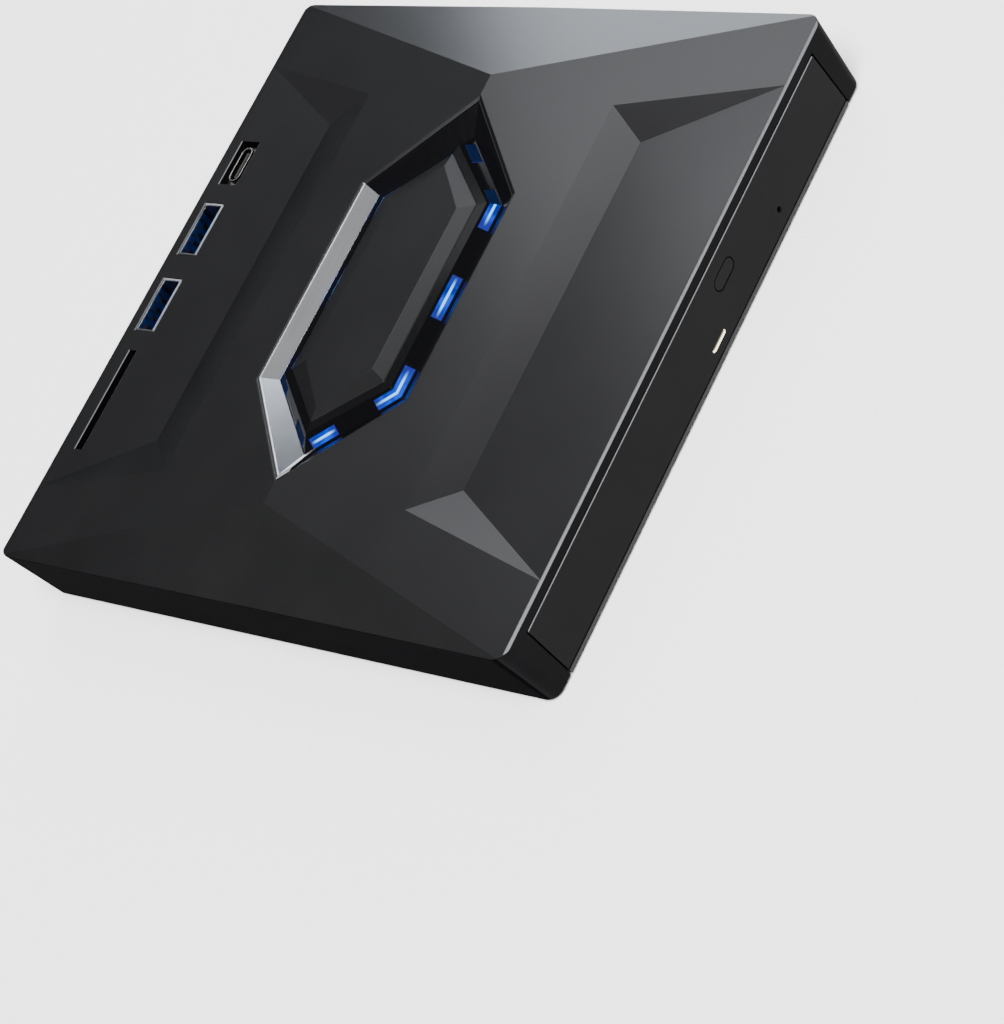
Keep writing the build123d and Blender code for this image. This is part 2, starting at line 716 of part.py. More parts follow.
def make_silver_trim():
    """Thin brushed strip on the outer slope of one long arm and of the short arm beside it."""
    space = block(-HALF_W, HALF_W, -HALF_D, HALF_D, RING_FLOOR_Z + 0.02, RIDGE_Z + 5)
    skin = trimmed(trimmed(space, RING_OUT, grow=-0.01), ROOF) - trimmed(space, RING_OUT, grow=-TRIM_T)
    skin = skin - island_shaft(RING_FLOOR_Z - 5, 0.05)
    out_x = RING_CORNER_X + (RING_CORNER_X - RING_BOTTOM_X)
    out_y = RING_CORNER_Y + (RING_CORNER_Y - RING_BOTTOM_Y)
    in_x = RING_BOTTOM_X - (RING_CORNER_X - RING_BOTTOM_X) / 2
    in_y = RING_BOTTOM_Y - (RING_CORNER_Y - RING_BOTTOM_Y) / 2
    sector = prism([
        (out_x, out_y), (in_x, in_y), (-RIM_CORNER_X + 1, in_y), (-RIM_VERTEX + 3, -TRIM_RETURN),
        (-RING_VERTEX - 6, -TRIM_RETURN), (-RING_VERTEX - 6, out_y),
    ], RING_FLOOR_Z - 1, RIDGE_Z + 1)
    return skin & sector


def make_centre_panel():
    """Bevelled cap of the island on four posts that stand on the light board."""
    cap = island(GUIDE_Z + GUIDE_H + FIT, -ISLAND_WALL - 2 * FIT)
    under = block(-HALF_W, HALF_W, -HALF_D, HALF_D, RING_FLOOR_Z - 9, PLATEAU_Z - PANEL_SKIN)
    cap = cap - trimmed(under, ISLAND_TOP, drop=PANEL_SKIN)
    for sx in (-1, 1):
        for sy in (-1, 1):
            x = sx * PLATEAU_CORNER_X * 0.7
            y = sy * PLATEAU_CORNER_Y * 0.5
            cap = cap + pad(x, y, PANEL_POST_HALF, LIGHT_BOARD_Z1, PLATEAU_Z - PANEL_SKIN / 2)
    return cap


def make_light_board():
    """Six-sided ring board that hangs under the ring moulding's pads."""
    vertex = RING_BOTTOM_VERTEX + 1.0
    corner_x = RING_BOTTOM_X + 1.0
    corner_y = RING_BOTTOM_Y + 1.6
    outline = [
        (vertex, 0), (corner_x, corner_y), (-corner_x, corner_y), (-vertex, 0),
        (-corner_x, -corner_y), (corner_x, -corner_y),
    ]
    hole = [(x * 0.3, y * 0.12) for x, y in outline]
    z0 = LIGHT_BOARD_Z1 - LIGHT_BOARD_T
    return prism(outline, z0, LIGHT_BOARD_Z1) - prism(hole, z0 - 1, LIGHT_BOARD_Z1 + 1)


def make_light_leds():
    """Ten small lamps on the light board, one under each window."""
    inward = ISLAND_WALL + GUIDE_DEEP * 0.6
    line_y = RIM_CORNER_Y - inward
    corner_x = RIM_CORNER_X - inward * 0.5
    spots = [(0, line_y)]
    spots.append((corner_x, line_y))
    tip_x = RIM_VERTEX - inward * 1.4
    middle = (WINDOW_TIP_GAP + WINDOW_TIP / 2) / math.hypot(tip_x - corner_x, line_y)
    spots.append((tip_x + (corner_x - tip_x) * middle, line_y * middle))
    lamps = []
    for x, y in spots:
        for sx in ((1,) if x == 0 else (-1, 1)):
            for sy in (-1, 1):
                lamps.append(pad(sx * x, sy * y, LED_SIZE / 2, LIGHT_BOARD_Z1, LIGHT_BOARD_Z1 + LED_H))
    return group(*lamps)


def make_hub_board():
    """Narrow board under the row of sockets."""
    return block(HUB_X0, HUB_X1, HUB_Y0, HUB_Y1, HUB_Z0, HUB_Z1)


def make_hub_chips():
    """Controller, memory and power parts on the hub board."""
    sites = [(-46.0, 5.0, 5.0, 1.0), (-17.5, 4.0, 3.0, 0.9), (1.5, 5.0, 5.0, 1.0), (20.4, 2.0, 3.0, 1.2)]
    y = HUB_Y0 + 3.2
    return group(*[
        block(x - w / 2, x + w / 2, y - d / 2, y + d / 2, HUB_Z1, HUB_Z1 + h) for x, w, d, h in sites
    ])


def make_usb_socket(x):
    """Upright folded-sheet shell of a socket, closed at the board."""
    y = REAR_Y - PORT_IN
    top = port_top(y)
    shell = block(x - USB_W / 2, x + USB_W / 2, y - USB_T / 2, y + USB_T / 2, HUB_Z1, top)
    shell = fillet(shell.edges().filter_by(Axis.Z), 0.5)
    inner_w = USB_W / 2 - USB_SHEET
    inner_t = USB_T / 2 - USB_SHEET
    shell = shell - block(x - inner_w, x + inner_w, y - inner_t, y + inner_t, HUB_Z1 + 1.0, top + 1)
    for dx in (-USB_SPRING_X, USB_SPRING_X):
        half = USB_SPRING_W / 2
        spring_top = top - USB_SPRING_Z
        shell = shell - block(
            x + dx - half, x + dx + half, y - USB_T, y + USB_T, spring_top - USB_SPRING_L, spring_top
        )
    return shell


def port_top(y):
    """Height of the sunken panel's floor above a point, less a small setback."""
    share = (HALF_D - abs(y)) / PANEL_IN
    return EAVE_Z + PANEL_LIFT * share - 0.15


def make_usb_tongue(x):
    """Contact tongue that stands in a socket, thicker at its root."""
    y = REAR_Y - PORT_IN
    top = port_top(y) - USB_TONGUE_IN
    middle = y + USB_TONGUE_SHIFT
    tongue = block(
        x - USB_TONGUE_W / 2, x + USB_TONGUE_W / 2, middle - USB_TONGUE_T / 2, middle + USB_TONGUE_T / 2,
        HUB_Z1 + 1.0, top
    )
    tongue = chamfer(tongue.edges().filter_by(Axis.X).sort_by(Axis.Z)[-2:], 0.3)
    inner_w = USB_W / 2 - USB_SHEET
    inner_t = USB_T / 2 - USB_SHEET
    root_top = port_top(y) - USB_TONGUE_ROOT
    root = block(x - inner_w, x + inner_w, y - inner_t, y + inner_t, HUB_Z1 + 1.0, root_top)
    return tongue + root


def oblong_shell(length):
    """Small oblong socket shell along Z from the origin, closed at its lower end."""
    shell = oblong(0, 0, USB_C_W, USB_C_T, 0, length)
    hollow = oblong(0, 0, USB_C_W - 2 * USB_C_SHEET, USB_C_T - 2 * USB_C_SHEET, 1.0, length + 1)
    return shell - hollow


def oblong_tongue(length):
    """Contact tongue of a small oblong socket, standing on the shell's closed end."""
    half_w = USB_C_TONGUE_W / 2
    half_t = USB_C_TONGUE_T / 2
    blade = block(-half_w, half_w, -half_t, half_t, 1.0, length - 0.5)
    root = oblong(0, 0, USB_C_W - 2 * USB_C_SHEET, USB_C_T - 2 * USB_C_SHEET, 1.0, length - 5.0)
    return blade + root


def make_usb_c_socket():
    """Raised block on the hub board with the oblong shell standing in the lid's recess."""
    y = REAR_Y - USB_C_IN
    half_w = USB_C_RECESS_W / 2 - PORT_GAP
    half_t = USB_C_RECESS_T / 2 - PORT_GAP
    top = port_top(y)
    base = block(USB_C_X - half_w, USB_C_X + half_w, y - half_t, y + half_t, HUB_Z1, top - 1.4)
    seat = Pos(USB_C_X, y, top - USB_C_DEEP - 0.3)
    base = base - seat * oblong(0, 0, USB_C_W - 0.2, USB_C_T - 0.2, 0, USB_C_DEEP + 2)
    return base + seat * oblong_shell(USB_C_DEEP)


def make_usb_c_tongue():
    """Contact tongue of the upright oblong socket."""
    y = REAR_Y - USB_C_IN
    return Pos(USB_C_X, y, port_top(y) - USB_C_DEEP - 0.3) * oblong_tongue(USB_C_DEEP)


def make_card_slot():
    """Upright housing that takes a memory card through the lid's slot."""
    y = REAR_Y - CARD_IN
    half_w = CARD_SLOT_W / 2
    half_t = CARD_SLOT_T / 2
    top = EAVE_Z - LID - 0.1
    housing = block(
        CARD_X - half_w - CARD_WALL, CARD_X + half_w + CARD_WALL,
        y - half_t - CARD_WALL, y + half_t + CARD_WALL, HUB_Z1, top
    )
    inner_w = half_w - CARD_LEAD
    inner_t = half_t - FIT
    return housing - block(
        CARD_X - inner_w, CARD_X + inner_w, y - inner_t, y + inner_t, HUB_Z1 + CARD_FLOOR, top + 1
    )


def make_power_socket():
    """Oblong power socket that lies on the hub board and ends in the rear wall."""
    y1 = REAR_Y - 0.4
    shell = Pos(POWER_X, y1 - POWER_L, POWER_Z) * Rot(-90, 0, 0) * oblong_shell(POWER_L)
    stand = block(POWER_X - 3.2, POWER_X + 3.2, y1 - POWER_L, y1 - 3.0, HUB_Z1, POWER_Z - USB_C_T / 2 + 0.1)
    return shell + stand


def make_power_tongue():
    """Contact tongue of the power socket."""
    return Pos(POWER_X, REAR_Y - 0.4 - POWER_L, POWER_Z) * Rot(-90, 0, 0) * oblong_tongue(POWER_L)


def make_cable_gland():
    """Rubber block at the front end of the groove, with a bore for the cable."""
    side_x1 = PLATE_HALF_W - GROOVE_WALL
    side_x0 = side_x1 - SIDE_GROOVE_W
    x0 = side_x0 + 0.1
    x1 = side_x1
    body = block(x0, x1, GROOVE_FRONT_Y + 0.1, GROOVE_FRONT_Y + GLAND_L, CASE_Z + 0.8, SIDE_GROOVE_TOP - 0.1)
    mid_x = (x0 + x1) / 2
    mid_z = (CASE_Z + 0.8 + SIDE_GROOVE_TOP) / 2
    bore = Pos(mid_x, GROOVE_FRONT_Y + GLAND_L - 3, mid_z) * Rot(90, 0, 0) * Cylinder(GLAND_BORE_R, 8)
    return body - bore


def make_drive_chassis():
    """Folded sheet tub of the drive, open above and in front, with guides for the rails and a latch post."""
    half = DRIVE_W / 2
    top = DRIVE_TOP - SHEET
    tub = block(-half, half, CHASSIS_Y0, CHASSIS_Y1, DRIVE_Z, top)
    tub = tub - block(
        -half + SHEET, half - SHEET, CHASSIS_Y0 - 1, CHASSIS_Y1 - SHEET, DRIVE_Z + SHEET, top + 1
    )
    outer_edges = [
        edge for edge in tub.edges().filter_by(Axis.Z)
        if edge.center().Y > CHASSIS_Y1 - 0.1 and abs(edge.center().X) > half - 0.1
    ]
    tub = fillet(outer_edges, 0.5)
    lip_in = TRAY_HALF + RAIL_SIDE_GAP + 1.0
    for side in (-1, 1):
        x0, x1 = sorted((side * lip_in, side * (half - SHEET / 2)))
        for z in (RAIL_Z - RAIL_H / 2 - RAIL_CLEAR - 0.4, RAIL_Z + RAIL_H / 2 + RAIL_CLEAR):
            tub = tub + block(x0, x1, CHASSIS_Y0 + 2, CHASSIS_Y1 - 4, z, z + 0.4)
    return tub + post(LATCH_POST_X, LATCH_POST_Y, DRIVE_Z + SHEET / 2, DRIVE_Z + 3.6, LATCH_POST_R)


def make_drive_cover():
    """Pressed sheet lid of the drive with a shallow round embossing."""
    half = DRIVE_W / 2
    sheet = block(-half, half, CHASSIS_Y0, CHASSIS_Y1, DRIVE_TOP - SHEET, DRIVE_TOP)
    sheet = chamfer(sheet.edges().filter_by(Axis.Z), 0.8)
    return sheet - post(0, HUB_Y, DRIVE_TOP - EMBOSS, DRIVE_TOP + 1, EMBOSS_R)


def make_main_board():
    """Drive electronics on the chassis floor behind the pickup pan."""
    z0 = DRIVE_Z + SHEET
    z1 = z0 + BOARD_T
    board = block(-BOARD_HALF, BOARD_HALF, BOARD_Y0, BOARD_Y1, z0, z1)
    chips = ((-12, 9, 12, 12, 1.1), (8, 10, 8, 6, 1.0), (26, 8, 9, 9, 1.0), (42, 20, 14, 5, 1.6))
    for x, from_edge, w, d, h in chips:
        y = BOARD_Y0 + from_edge
        board = board + block(x - w / 2, x + w / 2, y - d / 2, y + d / 2, z1 - FIT, z1 + h)
    return board + block(RIBBON_X0 - 1, RIBBON_X1 + 1, BOARD_Y0 + 0.5, BOARD_Y0 + 3.5, z1 - FIT, z1 + 1.0)


def make_ribbon_cable():
    """Flat cable folded once on the chassis floor, from the main board to the tray's underside."""
    low = DRIVE_Z + SHEET + 0.15
    mid = low + RIBBON_T / 2
    high = mid + 2 * RIBBON_BEND_R
    path = FilletPolyline(
        (BOARD_Y0 - 0.3, mid), (RIBBON_FOLD_Y, mid), (RIBBON_FOLD_Y, high), (TRAY_REAR_Y - 6, high),
        radius=RIBBON_BEND_R - 0.01
    )
    strip = Plane.YZ * make_face(offset_strip(path))
    return Pos(RIBBON_X0, 0, 0) * extrude(strip, RIBBON_X1 - RIBBON_X0)


def offset_strip(path):
    """Closed outline of a strip whose middle follows a path."""
    return offset(path, RIBBON_T / 2, side=Side.BOTH, kind=Kind.INTERSECTION)


def traverse(solid):
    """Places a solid from the pickup's own axes, with the spindle at their origin, in the tray."""
    return Pos(0, HUB_Y, 0) * Rot(0, 0, TRAVERSE_TURN) * solid


def tray_space(margin, z0, z1):
    """Box inside the tray's walls, smaller by a margin."""
    half = TRAY_HALF - TRAY_WALL - margin
    return block(-half, half, BEZEL_BACK_Y + 2 + margin, TRAY_REAR_Y - 2 - margin, z0, z1)


def make_disc_tray():
    """Tray: disc well with its hub hole and pickup slot, hollow corners, rail grooves and hanging feet."""
    tray = block(-TRAY_HALF, TRAY_HALF, BEZEL_BACK_Y, TRAY_REAR_Y, SKIRT_Z, TRAY_TOP)
    rear_corners = [edge for edge in tray.edges().filter_by(Axis.Z) if edge.center().Y > 0]
    tray = fillet(rear_corners, TRAY_CORNER_R)
    tray = tray - tray_space(0, SKIRT_Z - 1, UNDER_DECK)
    well_wall = post(0, HUB_Y, 0, RIDGE_Z, WELL_R + WELL_WALL)
    tray = tray - (tray_space(0, UNDER_DECK - 1, CORNER_POCKET_TOP) - well_wall)
    well = post(0, HUB_Y, DECK_Z, TRAY_TOP + 1, WELL_R)
    tray = tray - well
    tray = tray - post(0, HUB_Y, SKIRT_Z - 1, TRAY_TOP, HUB_HOLE_R)
    tray = tray - traverse(block(0, SLOT_END, -SLOT_HALF, SLOT_HALF, SKIRT_Z - 1, TRAY_TOP + 1))
    tray = tray + (
        tray_space(-0.5, CORNER_POCKET_TOP, TRAY_TOP)
        & traverse(block(WELL_R, SLOT_END + 1, -SLOT_HALF - 1, SLOT_HALF + 1, CORNER_POCKET_TOP, TRAY_TOP))
    ) - well
    for side in (-1, 1):
        groove_in = TRAY_HALF - RAIL_FLANGE + 0.1 - RAIL_CLEAR
        x0, x1 = sorted((side * groove_in, side * (TRAY_HALF + 1)))
        half_h = RAIL_FLANGE_H / 2 + RAIL_CLEAR
        tray = tray - block(x0, x1, BEZEL_BACK_Y + 1.5, TRAY_REAR_Y + 1, RAIL_Z - half_h, RAIL_Z + half_h)
    damper_top = FRAME_Z + FRAME_T + DAMPER_H
    for u, v, top in DAMPERS:
        tray = tray + traverse(pad(u, v, DAMPER_HALF, damper_top, top + DECK_T / 4))
    pocket_half = BUTTON_W / 2 + 1.5
    tray = tray - block(
        BUTTON_X - pocket_half, BUTTON_X + pocket_half, BEZEL_BACK_Y - 1, BEZEL_BACK_Y + BUTTON_POCKET,
        BUTTON_Z - BUTTON_H / 2 - 1.1, TRAY_TOP + 1
    )
    foot_half = LATCH_EYE + 0.8
    tray = tray + block(
        LATCH_X - foot_half, LATCH_X + foot_half, BEZEL_BACK_Y + 1, LATCH_Y + foot_half,
        SKIRT_Z, UNDER_DECK + DECK_T / 2
    )
    return tray + post(LATCH_X, LATCH_Y, LATCH_Z - 0.1, SKIRT_Z, LATCH_PIN_R)


def make_tray_bezel():
    """Front plate of the tray, pierced for the button, the light and the emergency pin."""
    half = BEZEL_W / 2
    plate = block(-half, half, FRONT_Y, BEZEL_BACK_Y, BEZEL_Z0, BEZEL_Z1)
    plate = fillet(plate.edges().filter_by(Axis.Y), 0.4)
    hole_w = BUTTON_W + 2 * BUTTON_GAP
    hole_h = BUTTON_H + 2 * BUTTON_GAP
    plate = plate - oblong_back(BUTTON_X, BUTTON_Z, hole_w, hole_h, FRONT_Y - 1, BEZEL_BACK_Y + 1)
    plate = plate - oblong_back(LAMP_X, LAMP_Z, LAMP_W + 0.1, LAMP_H + 0.1, FRONT_Y - 1, BEZEL_BACK_Y + 1)
    pin_hole = Pos(PIN_X, FRONT_Y, PIN_Z) * Rot(90, 0, 0) * Cylinder(PIN_R, 3 * BEZEL_T)
    return plate - pin_hole


def make_status_light():
    """Oblong light pipe from the front board to the face of the bezel."""
    return oblong_back(LAMP_X, LAMP_Z, LAMP_W, LAMP_H, FRONT_Y + 0.05, BEZEL_BACK_Y + 0.1)


def make_front_board():
    """Small upright board behind the bezel for the light and the switch's wires."""
    y0 = BEZEL_BACK_Y + 0.1
    return block(-2, 30, y0, y0 + 0.8, DRIVE_Z + SHEET + 0.3, SKIRT_Z - 0.05)


def make_eject_button():
    """Oblong push button with a flange behind the bezel and a stem towards its switch."""
    cap = oblong_back(BUTTON_X, BUTTON_Z, BUTTON_W, BUTTON_H, FRONT_Y + 0.05, BEZEL_BACK_Y + 0.1)
    half_w = BUTTON_W / 2 + 0.8
    half_h = BUTTON_H / 2 + 0.5
    flange = block(
        BUTTON_X - half_w, BUTTON_X + half_w, BEZEL_BACK_Y + FIT, BEZEL_BACK_Y + 0.6,
        BUTTON_Z - half_h, BUTTON_Z + half_h
    )
    stem_half = 0.8
    stem = block(
        BUTTON_X - stem_half, BUTTON_X + stem_half, BEZEL_BACK_Y + 0.5, BEZEL_BACK_Y + 1.1,
        BUTTON_Z - stem_half, BUTTON_Z + stem_half
    )
    return cap + flange + stem


def make_eject_switch():
    """Low snap switch on the back of the button's pocket."""
    y1 = BEZEL_BACK_Y + BUTTON_POCKET
    body = block(BUTTON_X - 1.8, BUTTON_X + 1.8, y1 - 0.7, y1, BUTTON_Z - 1.5, BUTTON_Z + 1.5)
    plunger = block(BUTTON_X - 0.7, BUTTON_X + 0.7, y1 - 1.0, y1 - 0.6, BUTTON_Z - 0.7, BUTTON_Z + 0.7)
    return body + plunger


def make_tray_under_cover():
    """Shallow pressed pan that closes the pickup's space from below and hangs on the tray."""
    x0 = PAN_X0
    x1 = TRAY_HALF - TRAY_WALL + 0.4
    y0 = BEZEL_BACK_Y + 1.8
    y1 = PAN_Y1
    pan = block(x0, x1, y0, y1, PAN_Z, SKIRT_Z - 0.05)
    pan = pan - block(x0 + PAN_T, x1 - PAN_T, y0 + PAN_T, y1 - PAN_T, PAN_Z + PAN_T, SKIRT_Z + 1)
    for ear_y in (y0 + 6, y1 - 6):
        pan = pan + block(x0 - 3, x0 + 1, ear_y - 2.5, ear_y + 2.5, SKIRT_Z - 0.45, SKIRT_Z - 0.05)
    return pan


def make_latch_lever():
    """Hooked lever on the tray that catches the chassis post when it swings in."""
    z0 = LATCH_Z
    z1 = z0 + LATCH_T
    half = LATCH_ARM_W / 2
    end_y = LATCH_Y + LATCH_ARM
    eye = LATCH_EYE
    hub = block(LATCH_X - eye, LATCH_X + eye, LATCH_Y - eye, LATCH_Y + eye, z0, z1)
    hub = chamfer(hub.edges().filter_by(Axis.Z), eye / 2)
    hub = hub - post(LATCH_X, LATCH_Y, z0 - 1, z1 + 1, LATCH_PIN_R + LATCH_RUNNING)
    arm = block(LATCH_X - half, LATCH_X + half, LATCH_Y + eye - 0.5, end_y, z0, z1)
    hook = prism([
        (LATCH_X, end_y), (LATCH_X, end_y - 1.6),
        (LATCH_X - LATCH_HOOK, end_y - 1.1), (LATCH_X - LATCH_HOOK, end_y),
    ], z0, z1)
    return hub + arm + hook


def make_rail(side):
    """Long rail between chassis and tray, with an inner flange that runs in the tray's groove."""
    inner = TRAY_HALF + RAIL_SIDE_GAP
    x0, x1 = sorted((side * inner, side * (inner + RAIL_T)))
    y0 = CHASSIS_Y0 + 1.5
    body = block(x0, x1, y0, y0 + RAIL_L, RAIL_Z - RAIL_H / 2, RAIL_Z + RAIL_H / 2)
    flange_in = inner - RAIL_SIDE_GAP - RAIL_FLANGE + 0.1
    f0, f1 = sorted((side * flange_in, side * (inner + 0.5)))
    body = body + block(f0, f1, y0, y0 + RAIL_L, RAIL_Z - RAIL_FLANGE_H / 2, RAIL_Z + RAIL_FLANGE_H / 2)
    relief = side * (inner + RAIL_T)
    r0, r1 = sorted((relief, relief - side * 0.7))
    return body - block(r0, r1, y0 + 8, y0 + RAIL_L - 8, RAIL_Z - 0.7, RAIL_Z + 0.7)


def make_traverse_frame():
    """Plate that carries the spindle, rods, screw and motor, with rod posts and a large window."""
    z1 = FRAME_Z + FRAME_T
    outline = [
        (FRAME_U0, FRAME_V0), (FRAME_U1 - 12, FRAME_V0), (FRAME_U1, -8), (FRAME_U1, 8),
        (FRAME_U1 - 16, FRAME_V1), (FRAME_U0, FRAME_V1),
    ]
    plate = prism(outline, FRAME_Z, z1)
    plate = plate - block(
        FRAME_WINDOW_U0, FRAME_WINDOW_U1, -FRAME_WINDOW_V, FRAME_WINDOW_V, FRAME_Z - 1, z1 + 1
    )
    room = MOTOR_R + 0.3
    plate = plate - block(MOTOR_U0 - 0.4, MOTOR_U1 + 0.4, SCREW_V - room, SCREW_V + room, 0, z1 + 1)
    for v in (-ROD_V, ROD_V):
        for u0, u1, notch_u0, notch_u1 in (
            (ROD_U0 - 0.5, ROD_U0 + ROD_STAND, ROD_U0, ROD_U0 + ROD_STAND + 1),
            (ROD_U1 - ROD_STAND, ROD_U1 + 0.5, ROD_U1 - ROD_STAND - 1, ROD_U1),
        ):
            stand = block(u0, u1, v - 1.7, v + 1.7, FRAME_Z, ROD_Z + 1.2)
            plate = plate + (stand - rod_notch(notch_u0, notch_u1, v, ROD_Z, ROD_R + 0.01))
    for u0, u1 in ((SCREW_U1 - 1.0, SCREW_U1 + 0.6), (MOTOR_U1 + 0.5, MOTOR_U1 + 1.7)):
        stand = block(u0, u1, SCREW_V - 1.8, SCREW_V + 1.8, FRAME_Z, SCREW_Z + 1.6)
        notch = rod_notch(u0 - 1, min(u1 + 1, SCREW_U1 + 0.2), SCREW_V, SCREW_Z, SCREW_R + SHAFT_RUNNING)
        plate = plate + (stand - notch)
    keep = tray_space(0.5, 0, RIDGE_Z)
    return traverse(plate) & keep


def rod_notch(u0, u1, v, z, radius):
    """Open-topped notch that a rod drops into, as wide as the rod and its fit."""
    return block(u0, u1, v - radius, v + radius, z - radius, z + 5 * radius)


def make_traverse_dampers():
    """Soft blocks between the traverse frame and the tray's hanging feet."""
    z0 = FRAME_Z + FRAME_T
    return group(*[traverse(pad(u, v, DAMPER_HALF, z0, z0 + DAMPER_H)) for u, v, _ in DAMPERS])


def make_guide_rods():
    """Two polished rods that the sled slides on."""
    return group(*[traverse(bar(ROD_U0, ROD_U1, v, ROD_Z, ROD_R)) for v in (-ROD_V, ROD_V)])


def make_spindle_motor():
    """Fixed half of the spindle motor: base, bearing tube and a nine-tooth core."""
    base_z0 = FRAME_Z + FRAME_T
    base_top = base_z0 + 0.5
    core_z0 = base_top + 0.1
    core_z1 = core_z0 + 1.0
    base = block(-MOTOR_BASE, MOTOR_BASE, -MOTOR_BASE, MOTOR_BASE, base_z0, base_top)
    base = chamfer(base.edges().filter_by(Axis.Z), MOTOR_BASE / 2)
    body = base + post(0, 0, base_z0, TURNTABLE_Z - 1.3, BEARING_R)
    for index in range(STATOR_TEETH):
        tooth = block(BEARING_R - 0.5, 9.6, -0.7, 0.7, core_z0, core_z1)
        tooth = tooth + block(8.8, 9.8, -2.4, 2.4, core_z0, core_z1)
        body = body + Rot(0, 0, index * 360 / STATOR_TEETH) * tooth
    return traverse(body - post(0, 0, base_z0 + 0.3, TURNTABLE_Z, SHAFT_R + SHAFT_RUNNING))


def make_spindle_rotor():
    """Turning cup over the motor's core, on its shaft."""
    top = TURNTABLE_Z
    z0 = FRAME_Z + FRAME_T + 0.7
    cup = post(0, 0, z0, top, ROTOR_R) - post(0, 0, z0 - 1, top - ROTOR_WALL, ROTOR_R - ROTOR_WALL)
    shaft = post(0, 0, FRAME_Z + FRAME_T + 0.4, NOSE_TOP - 0.6, SHAFT_R)
    return traverse(cup + shaft)


def make_turntable():
    """Disc seat with its centring nose, notched for the claws."""
    seat = post(0, 0, TURNTABLE_Z, DISC_Z, SEAT_R)
    nose = post(0, 0, DISC_Z - 0.2, NOSE_TOP, NOSE_R)
    nose = chamfer(nose.edges().sort_by(Axis.Z)[-1], 0.5)
    body = seat + nose
    body = body - post(0, 0, TURNTABLE_Z - 1, NOSE_TOP - 0.5, SHAFT_R + 0.01)
    for index in range(3):
        body = body - Rot(0, 0, index * 120) * claw_space()
    return traverse(body)


def claw_space():
    """Radial channel in the nose that one claw slides in."""
    half = CLAW_W / 2 + 0.1
    return block(CLAW_ROOT - CLAW_ROOM, NOSE_R + 2, -half, half, CLAW_Z - 0.08, CLAW_Z + CLAW_H + 0.08)


def make_disc_claw(index):
    """Sprung claw that snaps over the disc's hole, rounded at its nose."""
    reach = NOSE_R + CLAW_PROUD
    claw = block(CLAW_ROOT, reach, -CLAW_W / 2, CLAW_W / 2, CLAW_Z, CLAW_Z + CLAW_H)
    claw = claw & post(0, 0, CLAW_Z - 1, CLAW_Z + 2, reach - 0.1)
    return traverse(Rot(0, 0, index * 120) * claw)


def make_sled_motor():
    """Small stepping motor beside the spindle, in line with the lead screw."""
    can = bar(MOTOR_U0, MOTOR_U1, SCREW_V, SCREW_Z, MOTOR_R)
    reach = MOTOR_R + 1.6
    tab_z = FRAME_Z + FRAME_T
    tabs = block(MOTOR_U0 + 2, MOTOR_U0 + 5, SCREW_V - reach, SCREW_V + reach, tab_z, tab_z + 0.4)
    bore = bar(MOTOR_U1 - 3, MOTOR_U1 + 2, SCREW_V, SCREW_Z, SCREW_R + SHAFT_RUNNING)
    return traverse(can + tabs - bore)


def make_lead_screw():
    """Lead screw from the motor to its end post."""
    return traverse(bar(MOTOR_U1 - 2.8, SCREW_U1, SCREW_V, SCREW_Z, SCREW_R))


def make_pickup_sled():
    """Cast sled: sleeve on one rod, fork on the other, open nut on the screw and a well for the lens."""
    u0 = LENS_START - SLED_INNER
    u1 = LENS_START + SLED_OUTER
    body = block(u0, u1, -SLED_V + 4, SLED_V - 4, SLED_Z0, SLED_Z1)
    body = chamfer(body.edges().filter_by(Axis.Z), 1.2)
    for v in (-ROD_V, ROD_V):
        body = body + block(u0 + 0.5, u1 - 0.5, v - 2.1, v + 2.1, SLED_Z0, ROD_Z + 1.4)
    body = body - bar(u0 - 1, u1 + 1, ROD_V, ROD_Z, ROD_R + ROD_RUNNING)
    fork = ROD_R + ROD_RUNNING
    body = body - block(u0 - 1, u1 + 1, -ROD_V - 5, -ROD_V + fork, ROD_Z - fork, ROD_Z + fork)
    nut = block(u0 + 1, u0 + 5, ROD_V + 1.5, SCREW_V + 1.6, SLED_Z0, SCREW_Z + 1.4)
    mesh_r = SCREW_R + ROD_RUNNING
    body = body + (nut - block(
        u0, u0 + 6, SCREW_V - mesh_r, SCREW_V + 5, SCREW_Z - mesh_r, SCREW_Z + mesh_r
    ))
    well = block(LENS_START - 5.2, LENS_START + 4.1, -5.4, 5.4, SLED_Z0 + 1.2, SLED_Z1 + 1)
    body = body - well
    for side in (-1, 1):
        v = side * 4.75
        body = body + block(LENS_START - 1.6, LENS_START + 1.6, v - 0.35, v + 0.35, SLED_Z0 + 1.0, SLED_Z1)
    return traverse(body)


def make_lens_holder():
    """Light frame that carries the lens between the sled's two yokes."""
    holder = block(LENS_START - LENS_HALF_U, LENS_START + LENS_HALF_U, -LENS_HALF_V, LENS_HALF_V,
                   LENS_HOLDER_Z0, LENS_HOLDER_Z1)
    return traverse(holder - post(LENS_START, 0, LENS_HOLDER_Z0 - 1, LENS_HOLDER_Z1 + 1, LENS_R - 0.4))


def make_objective_lens():
    """Small bevelled lens that stands on its holder."""
    lens = post(LENS_START, 0, LENS_HOLDER_Z1, LENS_HOLDER_Z1 + LENS_T, LENS_R)
    return traverse(chamfer(lens.edges().sort_by(Axis.Z)[-1], LENS_T / 2))


